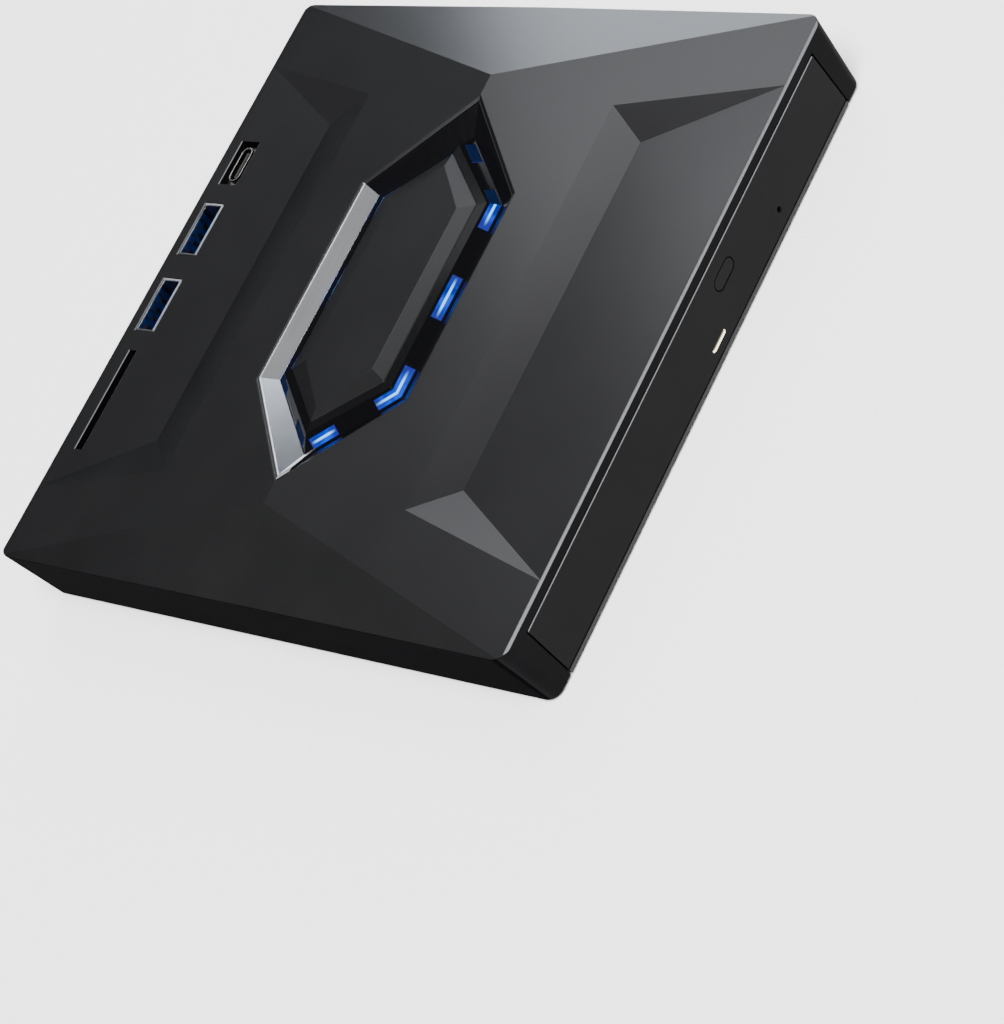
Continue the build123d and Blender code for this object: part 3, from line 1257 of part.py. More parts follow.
MAKERS = {
    "top_cover": make_top_cover,
    "bottom_cover": make_bottom_cover,
    "rubber_feet": make_feet,
    "hexagon_channel": make_hexagon_channel,
    "centre_panel": make_centre_panel,
    "light_guide": make_light_guide,
    "silver_trim": make_silver_trim,
    "light_board": make_light_board,
    "light_leds": make_light_leds,
    "hub_board": make_hub_board,
    "hub_chips": make_hub_chips,
    "usb_socket_a": lambda: make_usb_socket(USB_XS[0]),
    "usb_socket_b": lambda: make_usb_socket(USB_XS[1]),
    "usb_tongue_a": lambda: make_usb_tongue(USB_XS[0]),
    "usb_tongue_b": lambda: make_usb_tongue(USB_XS[1]),
    "usb_c_socket": make_usb_c_socket,
    "usb_c_tongue": make_usb_c_tongue,
    "card_slot_housing": make_card_slot,
    "power_socket": make_power_socket,
    "power_tongue": make_power_tongue,
    "cable_gland": make_cable_gland,
    "drive_chassis": make_drive_chassis,
    "drive_cover": make_drive_cover,
    "main_board": make_main_board,
    "ribbon_cable": make_ribbon_cable,
    "disc_tray": make_disc_tray,
    "tray_bezel": make_tray_bezel,
    "status_light": make_status_light,
    "front_board": make_front_board,
    "eject_switch": make_eject_switch,
    "eject_button": make_eject_button,
    "tray_under_cover": make_tray_under_cover,
    "latch_lever": make_latch_lever,
    "left_rail": lambda: make_rail(-1),
    "right_rail": lambda: make_rail(1),
    "traverse_frame": make_traverse_frame,
    "traverse_dampers": make_traverse_dampers,
    "guide_rods": make_guide_rods,
    "spindle_motor": make_spindle_motor,
    "spindle_rotor": make_spindle_rotor,
    "turntable": make_turntable,
    "disc_claw_1": lambda: make_disc_claw(0),
    "disc_claw_2": lambda: make_disc_claw(1),
    "disc_claw_3": lambda: make_disc_claw(2),
    "sled_motor": make_sled_motor,
    "lead_screw": make_lead_screw,
    "pickup_sled": make_pickup_sled,
    "lens_holder": make_lens_holder,
    "objective_lens": make_objective_lens,
}

os.makedirs("parts", exist_ok=True)
for node, make in MAKERS.items():
    export_step(group(make()), f"parts/{node}.step")
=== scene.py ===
import logging
import math
from collections.abc import Callable, Iterable, Mapping, Sequence
from dataclasses import dataclass
from enum import Enum
from typing import Any

import bmesh
import bpy
from mathutils import Matrix, Vector


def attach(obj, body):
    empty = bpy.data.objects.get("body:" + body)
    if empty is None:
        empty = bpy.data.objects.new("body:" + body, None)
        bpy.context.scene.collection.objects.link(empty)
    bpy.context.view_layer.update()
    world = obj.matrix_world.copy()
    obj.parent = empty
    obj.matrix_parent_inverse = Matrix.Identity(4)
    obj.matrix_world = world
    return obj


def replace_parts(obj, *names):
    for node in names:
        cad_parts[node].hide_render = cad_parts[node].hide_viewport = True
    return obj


# Looks of a slim external disc drive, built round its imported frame. Lengths are metres, +Z is up,
# the tray comes out along -Y and the sockets are at +Y.
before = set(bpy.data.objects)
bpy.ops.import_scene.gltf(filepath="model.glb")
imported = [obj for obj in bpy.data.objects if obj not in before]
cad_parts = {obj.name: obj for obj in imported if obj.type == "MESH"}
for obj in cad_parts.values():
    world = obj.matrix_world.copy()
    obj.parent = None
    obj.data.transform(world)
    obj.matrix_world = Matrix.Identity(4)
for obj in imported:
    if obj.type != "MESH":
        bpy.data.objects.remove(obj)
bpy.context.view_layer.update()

MM = 0.001
log = logging.getLogger("disc_drive")

Colour = tuple[float, float, float]
Triple = tuple[float, float, float]
Pair = tuple[float, float]
Inputs = Mapping[int | str, Any]

HERE = Matrix.Identity(4)
WELD = 0.0001  # points of a turned outline nearer than this are one, in millimetres
CAD_WELD = 0.000002  # the same for a CAD mesh, in metres
FLAT_DEGREES = 0.4  # faces that differ by less are one
UPRIGHT_SHARE = 0.9  # share of an edge's length that rises, above which it counts as upright
UPRIGHT_CRISP = 40.0  # least angle in degrees at which an upright edge stays sharp


def tint(red: int, green: int, blue: int) -> Colour:
    """Linear colour of three screen values.

    Args:
        red: Red from 0 to 255.
        green: Green from 0 to 255.
        blue: Blue from 0 to 255.

    Returns:
        The linear red, green and blue.
    """
    def linear(value: int) -> float:
        """Linear share of one screen value."""
        share = value / 255
        return share / 12.92 if share <= 0.04045 else ((share + 0.055) / 1.055) ** 2.4

    return linear(red), linear(green), linear(blue)


def opaque(colour: Colour) -> tuple[float, float, float, float]:
    """The colour with full alpha, as a colour socket takes it."""
    return (*colour, 1.0)


def shaded(colour: Colour, share: float, lift: float = 0.0) -> Colour:
    """The colour times a share, plus a lift."""
    return tuple(part * share + lift for part in colour)


def turned(degrees: float, axis: str) -> Matrix:
    """A turn about one axis."""
    return Matrix.Rotation(math.radians(degrees), 4, axis)


class Wire:
    """An output socket that takes part in Python arithmetic by adding Math nodes."""

    def __init__(self, graph: "Graph", socket: bpy.types.NodeSocket) -> None:
        """Keeps the socket and the graph it belongs to."""
        self.graph = graph
        self.socket = socket

    def maths(self, operation: str, *values: Any) -> "Wire":
        """The result of one Math node over these values."""
        return self.graph.node("ShaderNodeMath", {"operation": operation}, dict(enumerate(values)))

    def __add__(self, other: Any) -> "Wire":
        """Sum."""
        return self.maths("ADD", self, other)

    __radd__ = __add__

    def __sub__(self, other: Any) -> "Wire":
        """Difference."""
        return self.maths("SUBTRACT", self, other)

    def __rsub__(self, other: Any) -> "Wire":
        """Difference from a number."""
        return self.maths("SUBTRACT", other, self)

    def __mul__(self, other: Any) -> "Wire":
        """Product."""
        return self.maths("MULTIPLY", self, other)

    __rmul__ = __mul__

    def __truediv__(self, other: Any) -> "Wire":
        """Quotient."""
        return self.maths("DIVIDE", self, other)

    def __pow__(self, other: Any) -> "Wire":
        """Power."""
        return self.maths("POWER", self, other)

    def __abs__(self) -> "Wire":
        """Size without its sign."""
        return self.maths("ABSOLUTE", self)

    def over(self, limit: Any) -> "Wire":
        """One where the value is above the limit, else zero."""
        return self.maths("GREATER_THAN", self, limit)

    def under(self, limit: Any) -> "Wire":
        """One where the value is below the limit, else zero."""
        return self.maths("LESS_THAN", self, limit)

    def fraction(self) -> "Wire":
        """The part after the decimal point."""
        return self.maths("FRACT", self)

    def most(self, other: Any) -> "Wire":
        """The larger of two values."""
        return self.maths("MAXIMUM", self, other)

    def eased(self, low: float, high: float) -> "Wire":
        """A smooth step from zero at low to one at high."""
        return self.graph.node(
            "ShaderNodeMapRange", {"interpolation_type": "SMOOTHSTEP"},
            {"Value": self, "From Min": low, "From Max": high},
        )


class Graph:
    """The node tree of one material. Its methods take and give lengths in millimetres."""

    def __init__(self, name: str) -> None:
        """Makes an empty node material.

        Args:
            name: The material's name.
        """
        self.material = bpy.data.materials.new(name)
        self.material.use_nodes = True
        self.tree = self.material.node_tree
        self.tree.nodes.clear()

    def node(
        self, kind: str, settings: Mapping[str, Any] | None = None,
        inputs: Inputs | None = None, output: int = 0,
    ) -> Wire:
        """Adds a node.

        Args:
            kind: The node's type.
            settings: Its properties, and the stops of its ramp.
            inputs: Value or wire of each socket, by name or place.
            output: Place of the output that is handed back.

        Returns:
            That output.
        """
        made = self.tree.nodes.new(kind)
        for key, value in (settings or {}).items():
            if key == "stops":
                ramp = made.color_ramp.elements
                while len(ramp) < len(value):
                    ramp.new(1.0)
                for element, (place, colour) in zip(ramp, value):
                    element.position = place
                    element.color = opaque(colour)
            else:
                setattr(made, key, value)
        for key, value in (inputs or {}).items():
            if isinstance(value, Wire):
                self.tree.links.new(value.socket, made.inputs[key])
            else:
                made.inputs[key].default_value = value
        return Wire(self, made.outputs[output])

    def place(self) -> Wire:
        """Position in the row frame, in metres."""
        return self.node("ShaderNodeTexCoord", output=3)

    def parts(self, vector: Wire) -> tuple[Wire, Wire, Wire]:
        """A vector's X, Y and Z."""
        split = self.node("ShaderNodeSeparateXYZ", None, {0: vector})
        return split, Wire(self, split.socket.node.outputs[1]), Wire(self, split.socket.node.outputs[2])

    def axes(self) -> tuple[Wire, Wire, Wire]:
        """The position's X, Y and Z in millimetres."""
        return self.parts(self.node("ShaderNodeVectorMath", {"operation": "SCALE"}, {0: self.place(), "Scale": 1 / MM}))

    def noise(self, size: float, layers: float = 2.0, where: Wire | None = None) -> Wire:
        """Smooth noise from 0 to 1.

        Args:
            size: Size of its features.
            layers: Number of finer layers.
            where: Position to read, the row frame's if left out.

        Returns:
            The noise.
        """
        return self.node("ShaderNodeTexNoise", None, {
            "Vector": where or self.place(), "Scale": 1.0 / (size * MM), "Detail": layers,
        })

    def streaks(self, lengths: Triple, turn: float = 0.0, layers: float = 3.0) -> Wire:
        """Noise drawn out along axes that are turned about Z.

        Args:
            lengths: Size of its features along each axis.
            turn: Turn about Z in degrees.
            layers: Number of finer layers.

        Returns:
            The noise.
        """
        return self.noise(1.0 / MM, layers, self.node("ShaderNodeMapping", {"vector_type": "TEXTURE"}, {
            "Vector": self.place(), "Rotation": (0.0, 0.0, math.radians(turn)),
            "Scale": [length * MM for length in lengths],
        }))

    def cells(self, size: float) -> Wire:
        """Distance to the nearest of scattered points, in units of their spacing."""
        return self.node("ShaderNodeTexVoronoi", None, {"Vector": self.place(), "Scale": 1.0 / (size * MM)})

    def mix(self, first: Wire | Colour, second: Wire | Colour, share: Any) -> Wire:
        """Colour between two colours."""
        ends = [end if isinstance(end, Wire) else opaque(end) for end in (first, second)]
        return self.node("ShaderNodeMix", {"data_type": "RGBA"}, {0: share, 6: ends[0], 7: ends[1]}, output=2)

    def bump(self, height: Wire, depth: float) -> Wire:
        """Normal of a height field whose full height is depth."""
        return self.node("ShaderNodeBump", None, {"Height": height, "Distance": depth * MM})

    def shade(self, inputs: Inputs) -> bpy.types.Material:
        """Ends the tree in one principled shader.

        Args:
            inputs: Its sockets' values and wires.

        Returns:
            The finished material.
        """
        shader = self.node("ShaderNodeBsdfPrincipled", None, inputs)
        end = self.tree.nodes.new("ShaderNodeOutputMaterial")
        self.tree.links.new(shader.socket, end.inputs["Surface"])
        return self.material


@dataclass(frozen=True)
class Finish:
    """One surface finish. It builds its material once."""

    name: str

    def material(self) -> bpy.types.Material:
        """The finish's material, made at its first use.

        Returns:
            The material.
        """
        label = f"{self.name}_finish"
        if label in bpy.data.materials:
            return bpy.data.materials[label]
        graph = Graph(label)
        return graph.shade(self.paint(graph))

    def paint(self, graph: Graph) -> Inputs:
        """Draws what the shader takes."""
        raise NotImplementedError


@dataclass(frozen=True)
class Moulded(Finish):
    """Fine grain over slow patches: plastic, rubber, resin or castings. All finishes use millimetres."""

    colour: Colour = (0.02, 0.02, 0.02)
    roughness: float = 0.45
    grain: float = 0.35
    depth: float = 0.003
    cast: float = 0.25
    coat: float = 0.0
    coat_roughness: float = 0.15
    specular: float = 0.5
    metallic: float = 0.0
    patch: float = 18.0
    grain_layers: float = 2.0
    patch_layers: float = 2.0
    grain_share: float = 0.4
    tones: Pair = (0.3, 0.7)
    paler: float = 0.0
    lift: float = 0.001
    uneven: Pair = (0.10, 0.08)

    def paint(self, graph: Graph) -> Inputs:
        """Grain in height, tone and roughness, and patches in tone and roughness.

        Args:
            graph: The material's graph.

        Returns:
            The shader's inputs.
        """
        fine = graph.noise(self.grain, self.grain_layers)
        slow = graph.noise(self.patch, self.patch_layers)
        light = shaded(self.colour, 1 + self.cast + self.paler, self.lift)
        dark = shaded(self.colour, 1 - self.cast)
        tone = slow * (1 - self.grain_share) + fine * self.grain_share
        return {
            "Base Color": graph.mix(dark, light, tone.eased(*self.tones)),
            "Metallic": self.metallic,
            "Roughness": self.roughness + (slow - 0.5) * self.uneven[1] + (fine - 0.5) * self.uneven[0],
            "Specular IOR Level": self.specular,
            "Coat Weight": self.coat,
            "Coat Roughness": self.coat_roughness,
            "Normal": graph.bump(fine, self.depth),
        }


@dataclass(frozen=True)
class Gloss(Finish):
    """Polished plastic with faint ripples, wiping marks and settled dust."""

    colour: Colour = (0.002, 0.002, 0.0025)
    roughness: float = 0.10

    def paint(self, graph: Graph) -> Inputs:
        """Ripple in height, dust specks in tone and roughness.

        Args:
            graph: The material's graph.

        Returns:
            The shader's inputs.
        """
        ripple = graph.noise(9, 1.0)
        wipes = graph.streaks((9, 0.4, 9), 28, layers=2.0)
        dust = graph.cells(1.1).under(0.055)
        return {
            "Base Color": graph.mix(self.colour, tint(70, 70, 72), dust * 0.12),
            "Roughness": self.roughness + wipes.eased(0.5, 0.8) * 0.05 + dust * 0.3,
            "Specular IOR Level": 0.08,
            "Coat Weight": 0.05,
            "Coat Roughness": 0.05,
            "Normal": graph.bump(ripple, 0.01),
        }


@dataclass(frozen=True)
class Brushed(Finish):
    """Brushed metal strip whose hairlines follow each arm of the ring it lies on."""

    colour: Colour = tint(156, 157, 160)
    turn_at: float = -24.5
    short_arm: float = 44.1

    def paint(self, graph: Graph) -> Inputs:
        """Hairlines in tone, roughness and height, with slow bands across them.

        Args:
            graph: The material's graph.

        Returns:
            The shader's inputs.
        """
        across, _, _ = graph.axes()
        hair = (14, 0.05, 0.05)
        long_arm = graph.streaks(hair, 0)
        short_arm = graph.streaks(hair, self.short_arm)
        side = across.under(self.turn_at)
        lines = long_arm * (1 - side) + short_arm * side
        slow = graph.noise(11, 1.0)
        dark = shaded(self.colour, 0.78)
        return {
            "Base Color": graph.mix(dark, self.colour, (lines * 0.7 + slow * 0.3).eased(0.3, 0.7)),
            "Metallic": 1.0,
            "Roughness": 0.12 + lines * 0.08,
            "Normal": graph.bump(lines, 0.0005),
        }


@dataclass(frozen=True)
class Sheet(Finish):
    """Rolled or plated sheet metal, with rolling lines, faint spangle and handling marks."""

    colour: Colour = tint(178, 180, 182)
    roughness: float = 0.34
    spangle: float = 3.0
    rolled: float = 0.12
    turn: float = 0.0

    def paint(self, graph: Graph) -> Inputs:
        """Spangle cells and rolling lines in tone and roughness.

        Args:
            graph: The material's graph.

        Returns:
            The shader's inputs.
        """
        grains = graph.noise(self.spangle, 3.0)
        rolling = graph.streaks((30, 0.16, 0.16), self.turn)
        fine = graph.noise(0.25, 2.0)
        tone = grains * 0.45 + rolling * 0.35 + fine * 0.2
        dark = shaded(self.colour, 0.72)
        return {
            "Base Color": graph.mix(dark, self.colour, tone.eased(0.28, 0.72)),
            "Metallic": 1.0,
            "Roughness": self.roughness + (grains - 0.5) * 0.14 + (rolling - 0.5) * self.rolled,
            "Normal": graph.bump(rolling * 0.5 + fine * 0.5, 0.004),
        }


@dataclass(frozen=True)
class Turned(Finish):
    """Ground or turned metal with fine marks across an axis that lies turned about Z."""

    colour: Colour = tint(205, 206, 208)
    roughness: float = 0.16
    turn: float = -45.0
    pitch: float = 0.12

    def paint(self, graph: Graph) -> Inputs:
        """Tool marks round the axis, with a thin film of oil in patches.

        Args:
            graph: The material's graph.

        Returns:
            The shader's inputs.
        """
        marks = graph.streaks((self.pitch, 8, 8), self.turn)
        film = graph.noise(5, 2.0)
        dark = shaded(self.colour, 0.8)
        return {
            "Base Color": graph.mix(dark, self.colour, (marks * 0.6 + film * 0.4).eased(0.3, 0.7)),
            "Metallic": 1.0,
            "Roughness": self.roughness + marks * 0.12 - film * 0.05,
            "Normal": graph.bump(marks, 0.002),
        }


@dataclass(frozen=True)
class Rubber(Moulded):
    """Soft rubber with a matt bloom in patches over a fine skin."""

    colour: Colour = tint(34, 34, 35)
    roughness: float = 0.78
    grain: float = 0.2
    depth: float = 0.012
    cast: float = 0.0
    specular: float = 0.3
    patch: float = 4.0
    patch_layers: float = 3.0
    grain_share: float = 0.0
    tones: Pair = (0.42, 0.75)
    paler: float = 0.9
    lift: float = 0.004
    uneven: Pair = (0.2, 0.0)


@dataclass(frozen=True)
class Board(Finish):
    """Circuit board under solder mask, with tracks and plated holes."""

    mask: Colour = tint(16, 62, 40)
    track: Colour = tint(38, 104, 66)
    pitch: float = 0.9

    def paint(self, graph: Graph) -> Inputs:
        """Runs of tracks along X or Y by patches, and scattered plated holes whose near-black centres are painted
        shade.

        Args:
            graph: The material's graph.

        Returns:
            The shader's inputs.
        """
        x, y, _ = graph.axes()
        patch = graph.noise(9, 0.0).over(0.5)
        along_x = abs((y / self.pitch).fraction() - 0.5).under(0.17)
        along_y = abs((x / self.pitch).fraction() - 0.5).under(0.17)
        tracks = along_x * patch + along_y * (1 - patch)
        spots = graph.cells(2.6)
        hole_shade = spots.under(0.09)
        land = spots.under(0.17) - hole_shade
        masked = graph.mix(self.mask, self.track, tracks)
        plated = graph.mix(masked, tint(205, 190, 150), land)
        return {
            # Near-black centres of the plated holes are painted shade in the openings.
            "Base Color": graph.mix(plated, (0.01, 0.01, 0.01), hole_shade),
            "Metallic": land * 0.9,
            "Roughness": 0.32 + (graph.noise(1.5) - 0.5) * 0.14,
            "Coat Weight": 0.3,
            "Normal": graph.bump(tracks + land * 1.5, 0.03),
        }


@dataclass(frozen=True)
class Film(Finish):
    """Flat cable: white film over tinned strips."""

    pitch: float = 0.9

    def paint(self, graph: Graph) -> Inputs:
        """Raised strips across X under a creased film.

        Args:
            graph: The material's graph.

        Returns:
            The shader's inputs.
        """
        x, _, _ = graph.axes()
        strip = abs((x / self.pitch).fraction() - 0.5).eased(0.22, 0.34)
        crease = graph.streaks((20, 3, 3), layers=2.0)
        return {
            "Base Color": graph.mix(tint(186, 189, 192), tint(232, 233, 230), strip),
            "Roughness": 0.34 + (crease - 0.5) * 0.2,
            "Coat Weight": 0.25,
            "Normal": graph.bump(1 - strip, 0.05),
        }


@dataclass(frozen=True)
class Glow(Finish):
    """Frosted guide lit from inside: a pale core along the middle of its height that fades into deep blue.

    Walls that face along the aim, either way, are lit; those square to it stay dim.
    """

    core_z: float = 20.5
    core_half: float = 0.24
    aim: Pair = (0.6, 0.8)
    lamps: tuple[Triple, ...] = (
        (0.0, 16.5, 5.0), (22.5, 16.3, 5.6), (34.4, 3.4, 3.1),
    )
    strength: float = 3.0

    def paint(self, graph: Graph) -> Inputs:
        """Glow by height, brightest in front of the lamps and fading towards the ends of each window.

        Args:
            graph: The material's graph.

        Returns:
            The shader's inputs.
        """
        x, y, z = graph.axes()
        near = None
        for middle_x, middle_y, reach in self.lamps:
            gap = ((abs(x) - middle_x) ** 2 + (abs(y) - middle_y) ** 2) ** 0.5
            share = 1 - gap.eased(reach * 0.3, reach)
            near = share if near is None else near.most(share)
        away = abs(z - self.core_z)
        core = 1 - away.eased(self.core_half * 0.2, self.core_half)
        cloud = graph.noise(2.6, 1.0)
        frost = graph.noise(0.2, 2.0)
        deep = graph.mix((0.0, 0.006, 0.13), (0.0, 0.03, 0.38), cloud.eased(0.3, 0.7))
        edge = graph.mix((0.012, 0.008, 0.10), deep, 0.25 + near * 0.75)
        glowing = graph.mix(edge, (0.16, 0.55, 1.0), core * near * (0.75 + cloud * 0.6))
        across, along, upward = graph.parts(graph.node("ShaderNodeNewGeometry", output=3))
        aimed = abs(across * self.aim[0] + along * self.aim[1]).eased(0.06, 0.45)
        lit = graph.mix((0.0, 0.0002, 0.003), glowing, aimed * upward.under(0.9))
        return {
            "Base Color": graph.mix((0.0006, 0.002, 0.010), (0.001, 0.004, 0.018), frost),
            "Roughness": 0.5 + frost * 0.1,
            "Specular IOR Level": 0.03,
            "Emission Color": lit,
            "Emission Strength": self.strength,
            "Normal": graph.bump(frost, 0.01),
        }


@dataclass(frozen=True)
class Lamp(Finish):
    """Warm status light: diffusing plastic lit from behind, brightest along its middle."""

    middle_z: float = 4.2
    half: float = 0.36
    strength: float = 4.0

    def paint(self, graph: Graph) -> Inputs:
        """Falls off from the middle line to dark edges.

        Args:
            graph: The material's graph.

        Returns:
            The shader's inputs.
        """
        _, _, z = graph.axes()
        edge = abs(z - self.middle_z).eased(self.half * 0.4, self.half)
        grain = graph.noise(0.3)
        return {
            "Base Color": graph.mix(tint(60, 56, 44), tint(46, 42, 32), grain),
            "Roughness": 0.4 + grain * 0.1,
            "Specular IOR Level": 0.1,
            "Emission Color": graph.mix((1.0, 0.93, 0.70), (0.02, 0.018, 0.01), edge),
            "Emission Strength": self.strength,
        }


@dataclass(frozen=True)
class CoatedLens(Finish):
    """Pickup lens with a violet and green coating in zones round its axis."""

    centre: Triple = (16.97, -25.77, 0.0)
    radius: float = 1.9

    def paint(self, graph: Graph) -> Inputs:
        """Zones by distance from the lens's axis.

        Args:
            graph: The material's graph.

        Returns:
            The shader's inputs.
        """
        x, y, _ = graph.axes()
        reach = ((x - self.centre[0]) ** 2 + (y - self.centre[1]) ** 2) ** 0.5 / self.radius
        zones = graph.node("ShaderNodeValToRGB", {"stops": (
            (0.0, (0.01, 0.02, 0.05)), (0.35, (0.03, 0.015, 0.09)), (0.62, (0.01, 0.06, 0.07)),
            (0.72, (0.10, 0.10, 0.12)), (1.0, (0.02, 0.02, 0.03)),
        )}, {"Fac": reach})
        haze = graph.noise(0.7)
        return {
            "Base Color": graph.mix(zones, (0.06, 0.07, 0.12), haze * 0.35),
            "Roughness": 0.03 + haze * 0.04,
            "Coat Weight": 1.0,
            "Coat Roughness": 0.01,
            "IOR": 1.7,
        }


@dataclass(frozen=True)
class Winding(Finish):
    """Enamelled copper wire laid in close turns one above another."""

    pitch: float = 0.12

    def paint(self, graph: Graph) -> Inputs:
        """Turns by height, each round in section and darker where turns meet as painted shade.

        Args:
            graph: The material's graph.

        Returns:
            The shader's inputs.
        """
        _, _, z = graph.axes()
        turn = abs((z / self.pitch).fraction() - 0.5) * 2
        stain = graph.noise(1.2)
        return {
            # Bright at each turn's crest and darker where turns meet: painted shade, mixed with random stain.
            "Base Color": graph.mix(tint(196, 104, 52), tint(120, 52, 26), turn * 0.7 + stain * 0.3),
            "Metallic": 0.9,
            "Roughness": 0.28 + stain * 0.1,
            "Normal": graph.bump(1 - turn * turn, 0.05),
        }


@dataclass(frozen=True)
class Paper(Finish):
    """Pale seamless studio floor."""

    colour: Colour = (0.86, 0.86, 0.87)

    def paint(self, graph: Graph) -> Inputs:
        """Barely uneven matt sheet.

        Args:
            graph: The material's graph.

        Returns:
            The shader's inputs.
        """
        slow = graph.noise(90, 2.0)
        dim = shaded(self.colour, 0.985)
        return {
            "Base Color": graph.mix(dim, self.colour, slow),
            "Roughness": 0.85 + (slow - 0.5) * 0.05,
            "Specular IOR Level": 0.2,
        }


class Look(Enum):
    """Every finish of the object and of the floor."""

    LID = Moulded("lid_plastic", tint(7, 7, 8), 0.50, cast=0.10, coat=0.62, coat_roughness=0.20, specular=0.10)
    WALL = Moulded("wall_plastic", tint(6, 6, 7), 0.6, 0.4, 0.006, cast=0.12, specular=0.03)
    # The side walls are the wall plastic made darker: painted shade.
    SIDE_WALL_SHADE = Moulded("side_wall_painted_shade", tint(3, 3, 4), 0.7, 0.4, 0.006, cast=0.12, specular=0.002)
    # Pale grey on black plastic along the cut eaves, the rear opening rims and the tray plate's top edge: a painted
    # highlight.
    PAINTED_EDGE_HIGHLIGHT = Moulded("edge_painted_highlight", tint(84, 85, 88), 0.35, cast=0.05, coat=0.4, coat_roughness=0.2)
    PLATE = Moulded("plate_plastic", tint(16, 16, 17), 0.56, 0.5, 0.012, specular=0.3)
    ISLAND = Moulded("island_plastic", tint(8, 8, 9), 0.5, cast=0.10, coat=0.5, coat_roughness=0.24, specular=0.10)
    BEZEL = Moulded("bezel_plastic", tint(7, 7, 8), 0.5, cast=0.12, coat=0.02, specular=0.04)
    BUTTON = Moulded("button_plastic", tint(8, 8, 9), 0.46, cast=0.12, coat=0.02, specular=0.04)
    TRAY = Moulded("tray_plastic", tint(24, 24, 25), 0.5, 0.45, 0.010, specular=0.3)
    RAIL = Moulded("rail_plastic", tint(30, 30, 32), 0.38, 0.6, specular=0.4)
    LATCH = Moulded("latch_plastic", tint(226, 225, 219), 0.34, 0.6, cast=0.04)
    HOLDER = Moulded("holder_plastic", tint(26, 26, 28), 0.46)
    CLAW = Moulded("claw_plastic", tint(128, 130, 132), 0.38, 0.5, cast=0.08)
    SEAT = Rubber("seat_rubber", tint(28, 28, 29))
    TONGUE_BLUE = Moulded("blue_tongue_plastic", tint(20, 78, 176), 0.34, 0.5, cast=0.08, coat=0.1)
    TONGUE_BLACK = Moulded("black_tongue_plastic", tint(26, 26, 27), 0.4)
    SLOT = Moulded("slot_plastic", tint(30, 30, 31), 0.5)
    LAMP_BODY = Moulded("lamp_body", tint(222, 214, 180), 0.3, 0.4, cast=0.06, coat=0.4)
    RING = Gloss("ring_gloss")
    TRIM = Brushed("brushed_trim")
    # Brighter metal colour on the strip's narrow edges and sides: a painted highlight.
    TRIM_EDGE_HIGHLIGHT = Turned("trim_edge_painted_highlight", tint(236, 237, 239), 0.3, 0.0, 0.5)
    # The tray-side lip is pale as a painted highlight; the rear rim is the same metal darker as painted shade.
    LIP_HIGHLIGHT = Turned("socket_lip_painted_highlight", tint(240, 240, 238), 0.40, 0.0, 0.3)
    RIM_SHADE = Turned("socket_rim_painted_shade", tint(118, 118, 117), 0.45, 0.0, 0.3)
    NICKEL = Sheet("nickel_plate", tint(206, 205, 200), 0.20, 6, 0.08)
    GOLD = Sheet("gold_plate", tint(232, 190, 108), 0.22, 2, 0.08)
    DRIVE_STEEL = Sheet("drive_steel", tint(172, 175, 178), 0.36)
    FRAME_STEEL = Sheet("frame_steel", tint(160, 163, 167), 0.30, 4, turn=-45.0)
    ROD = Turned("rod_steel", tint(214, 215, 217), 0.10)
    SCREW = Turned("screw_steel", tint(190, 191, 193), 0.2, pitch=0.2)
    CAN = Turned("motor_can", tint(168, 170, 173), 0.3, pitch=0.3)
    MOTOR = Sheet("motor_steel", tint(150, 152, 154), 0.38, 1.5)
    ROTOR = Turned("rotor_steel", tint(188, 190, 192), 0.22, pitch=0.25)
    ALLOY = Moulded(
        "sled_alloy", tint(150, 152, 155), 0.42, 0.28, 0.02, 0.3, metallic=0.85, patch=6.0, grain_layers=3.0,
        patch_layers=3.0, grain_share=0.5, paler=-0.3, lift=0.0, uneven=(0.2, 0.0),
    )
    RUBBER = Rubber("foot_rubber")
    GREY_RUBBER = Rubber("damper_rubber", tint(58, 56, 54))
    GREEN_BOARD = Board("green_board")
    BLACK_BOARD = Board("black_board", tint(18, 19, 20), tint(38, 40, 42))
    CHIP = Moulded(
        "chip_epoxy", tint(30, 31, 33), 0.5, 0.12, 0.006, 0.0, patch=2.2, grain_layers=3.0, grain_share=0.6,
        tones=(0.35, 0.75), paler=0.8, lift=0.0, uneven=(0.25, 0.0),
    )
    FILM = Film("ribbon_film")
    GLOW = Glow("blue_glow")
    LAMP = Lamp("warm_lamp")
    LENS = CoatedLens("lens_coating")
    COPPER = Winding("copper_winding")
    FLOOR = Paper("studio_paper")


def dress(finish: Look, *nodes: str) -> None:
    """Gives CAD nodes a finish.

    Args:
        finish: Their finish.
        nodes: The nodes' names.
    """
    for node in nodes:
        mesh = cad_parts[node].data
        mesh.materials.clear()
        mesh.materials.append(finish.value.material())
        log.info("dressed %s in %s", node, finish.value.name)


def refinish(piece: bpy.types.Object, finish: Look, chosen: Callable[[bpy.types.MeshPolygon], bool]) -> None:
    """Gives some faces of a piece another finish.

    Args:
        piece: The piece.
        finish: The other finish.
        chosen: Tells whether a face takes it.
    """
    piece.data.materials.append(finish.value.material())
    for face in filter(chosen, piece.data.polygons):
        face.material_index = len(piece.data.materials) - 1


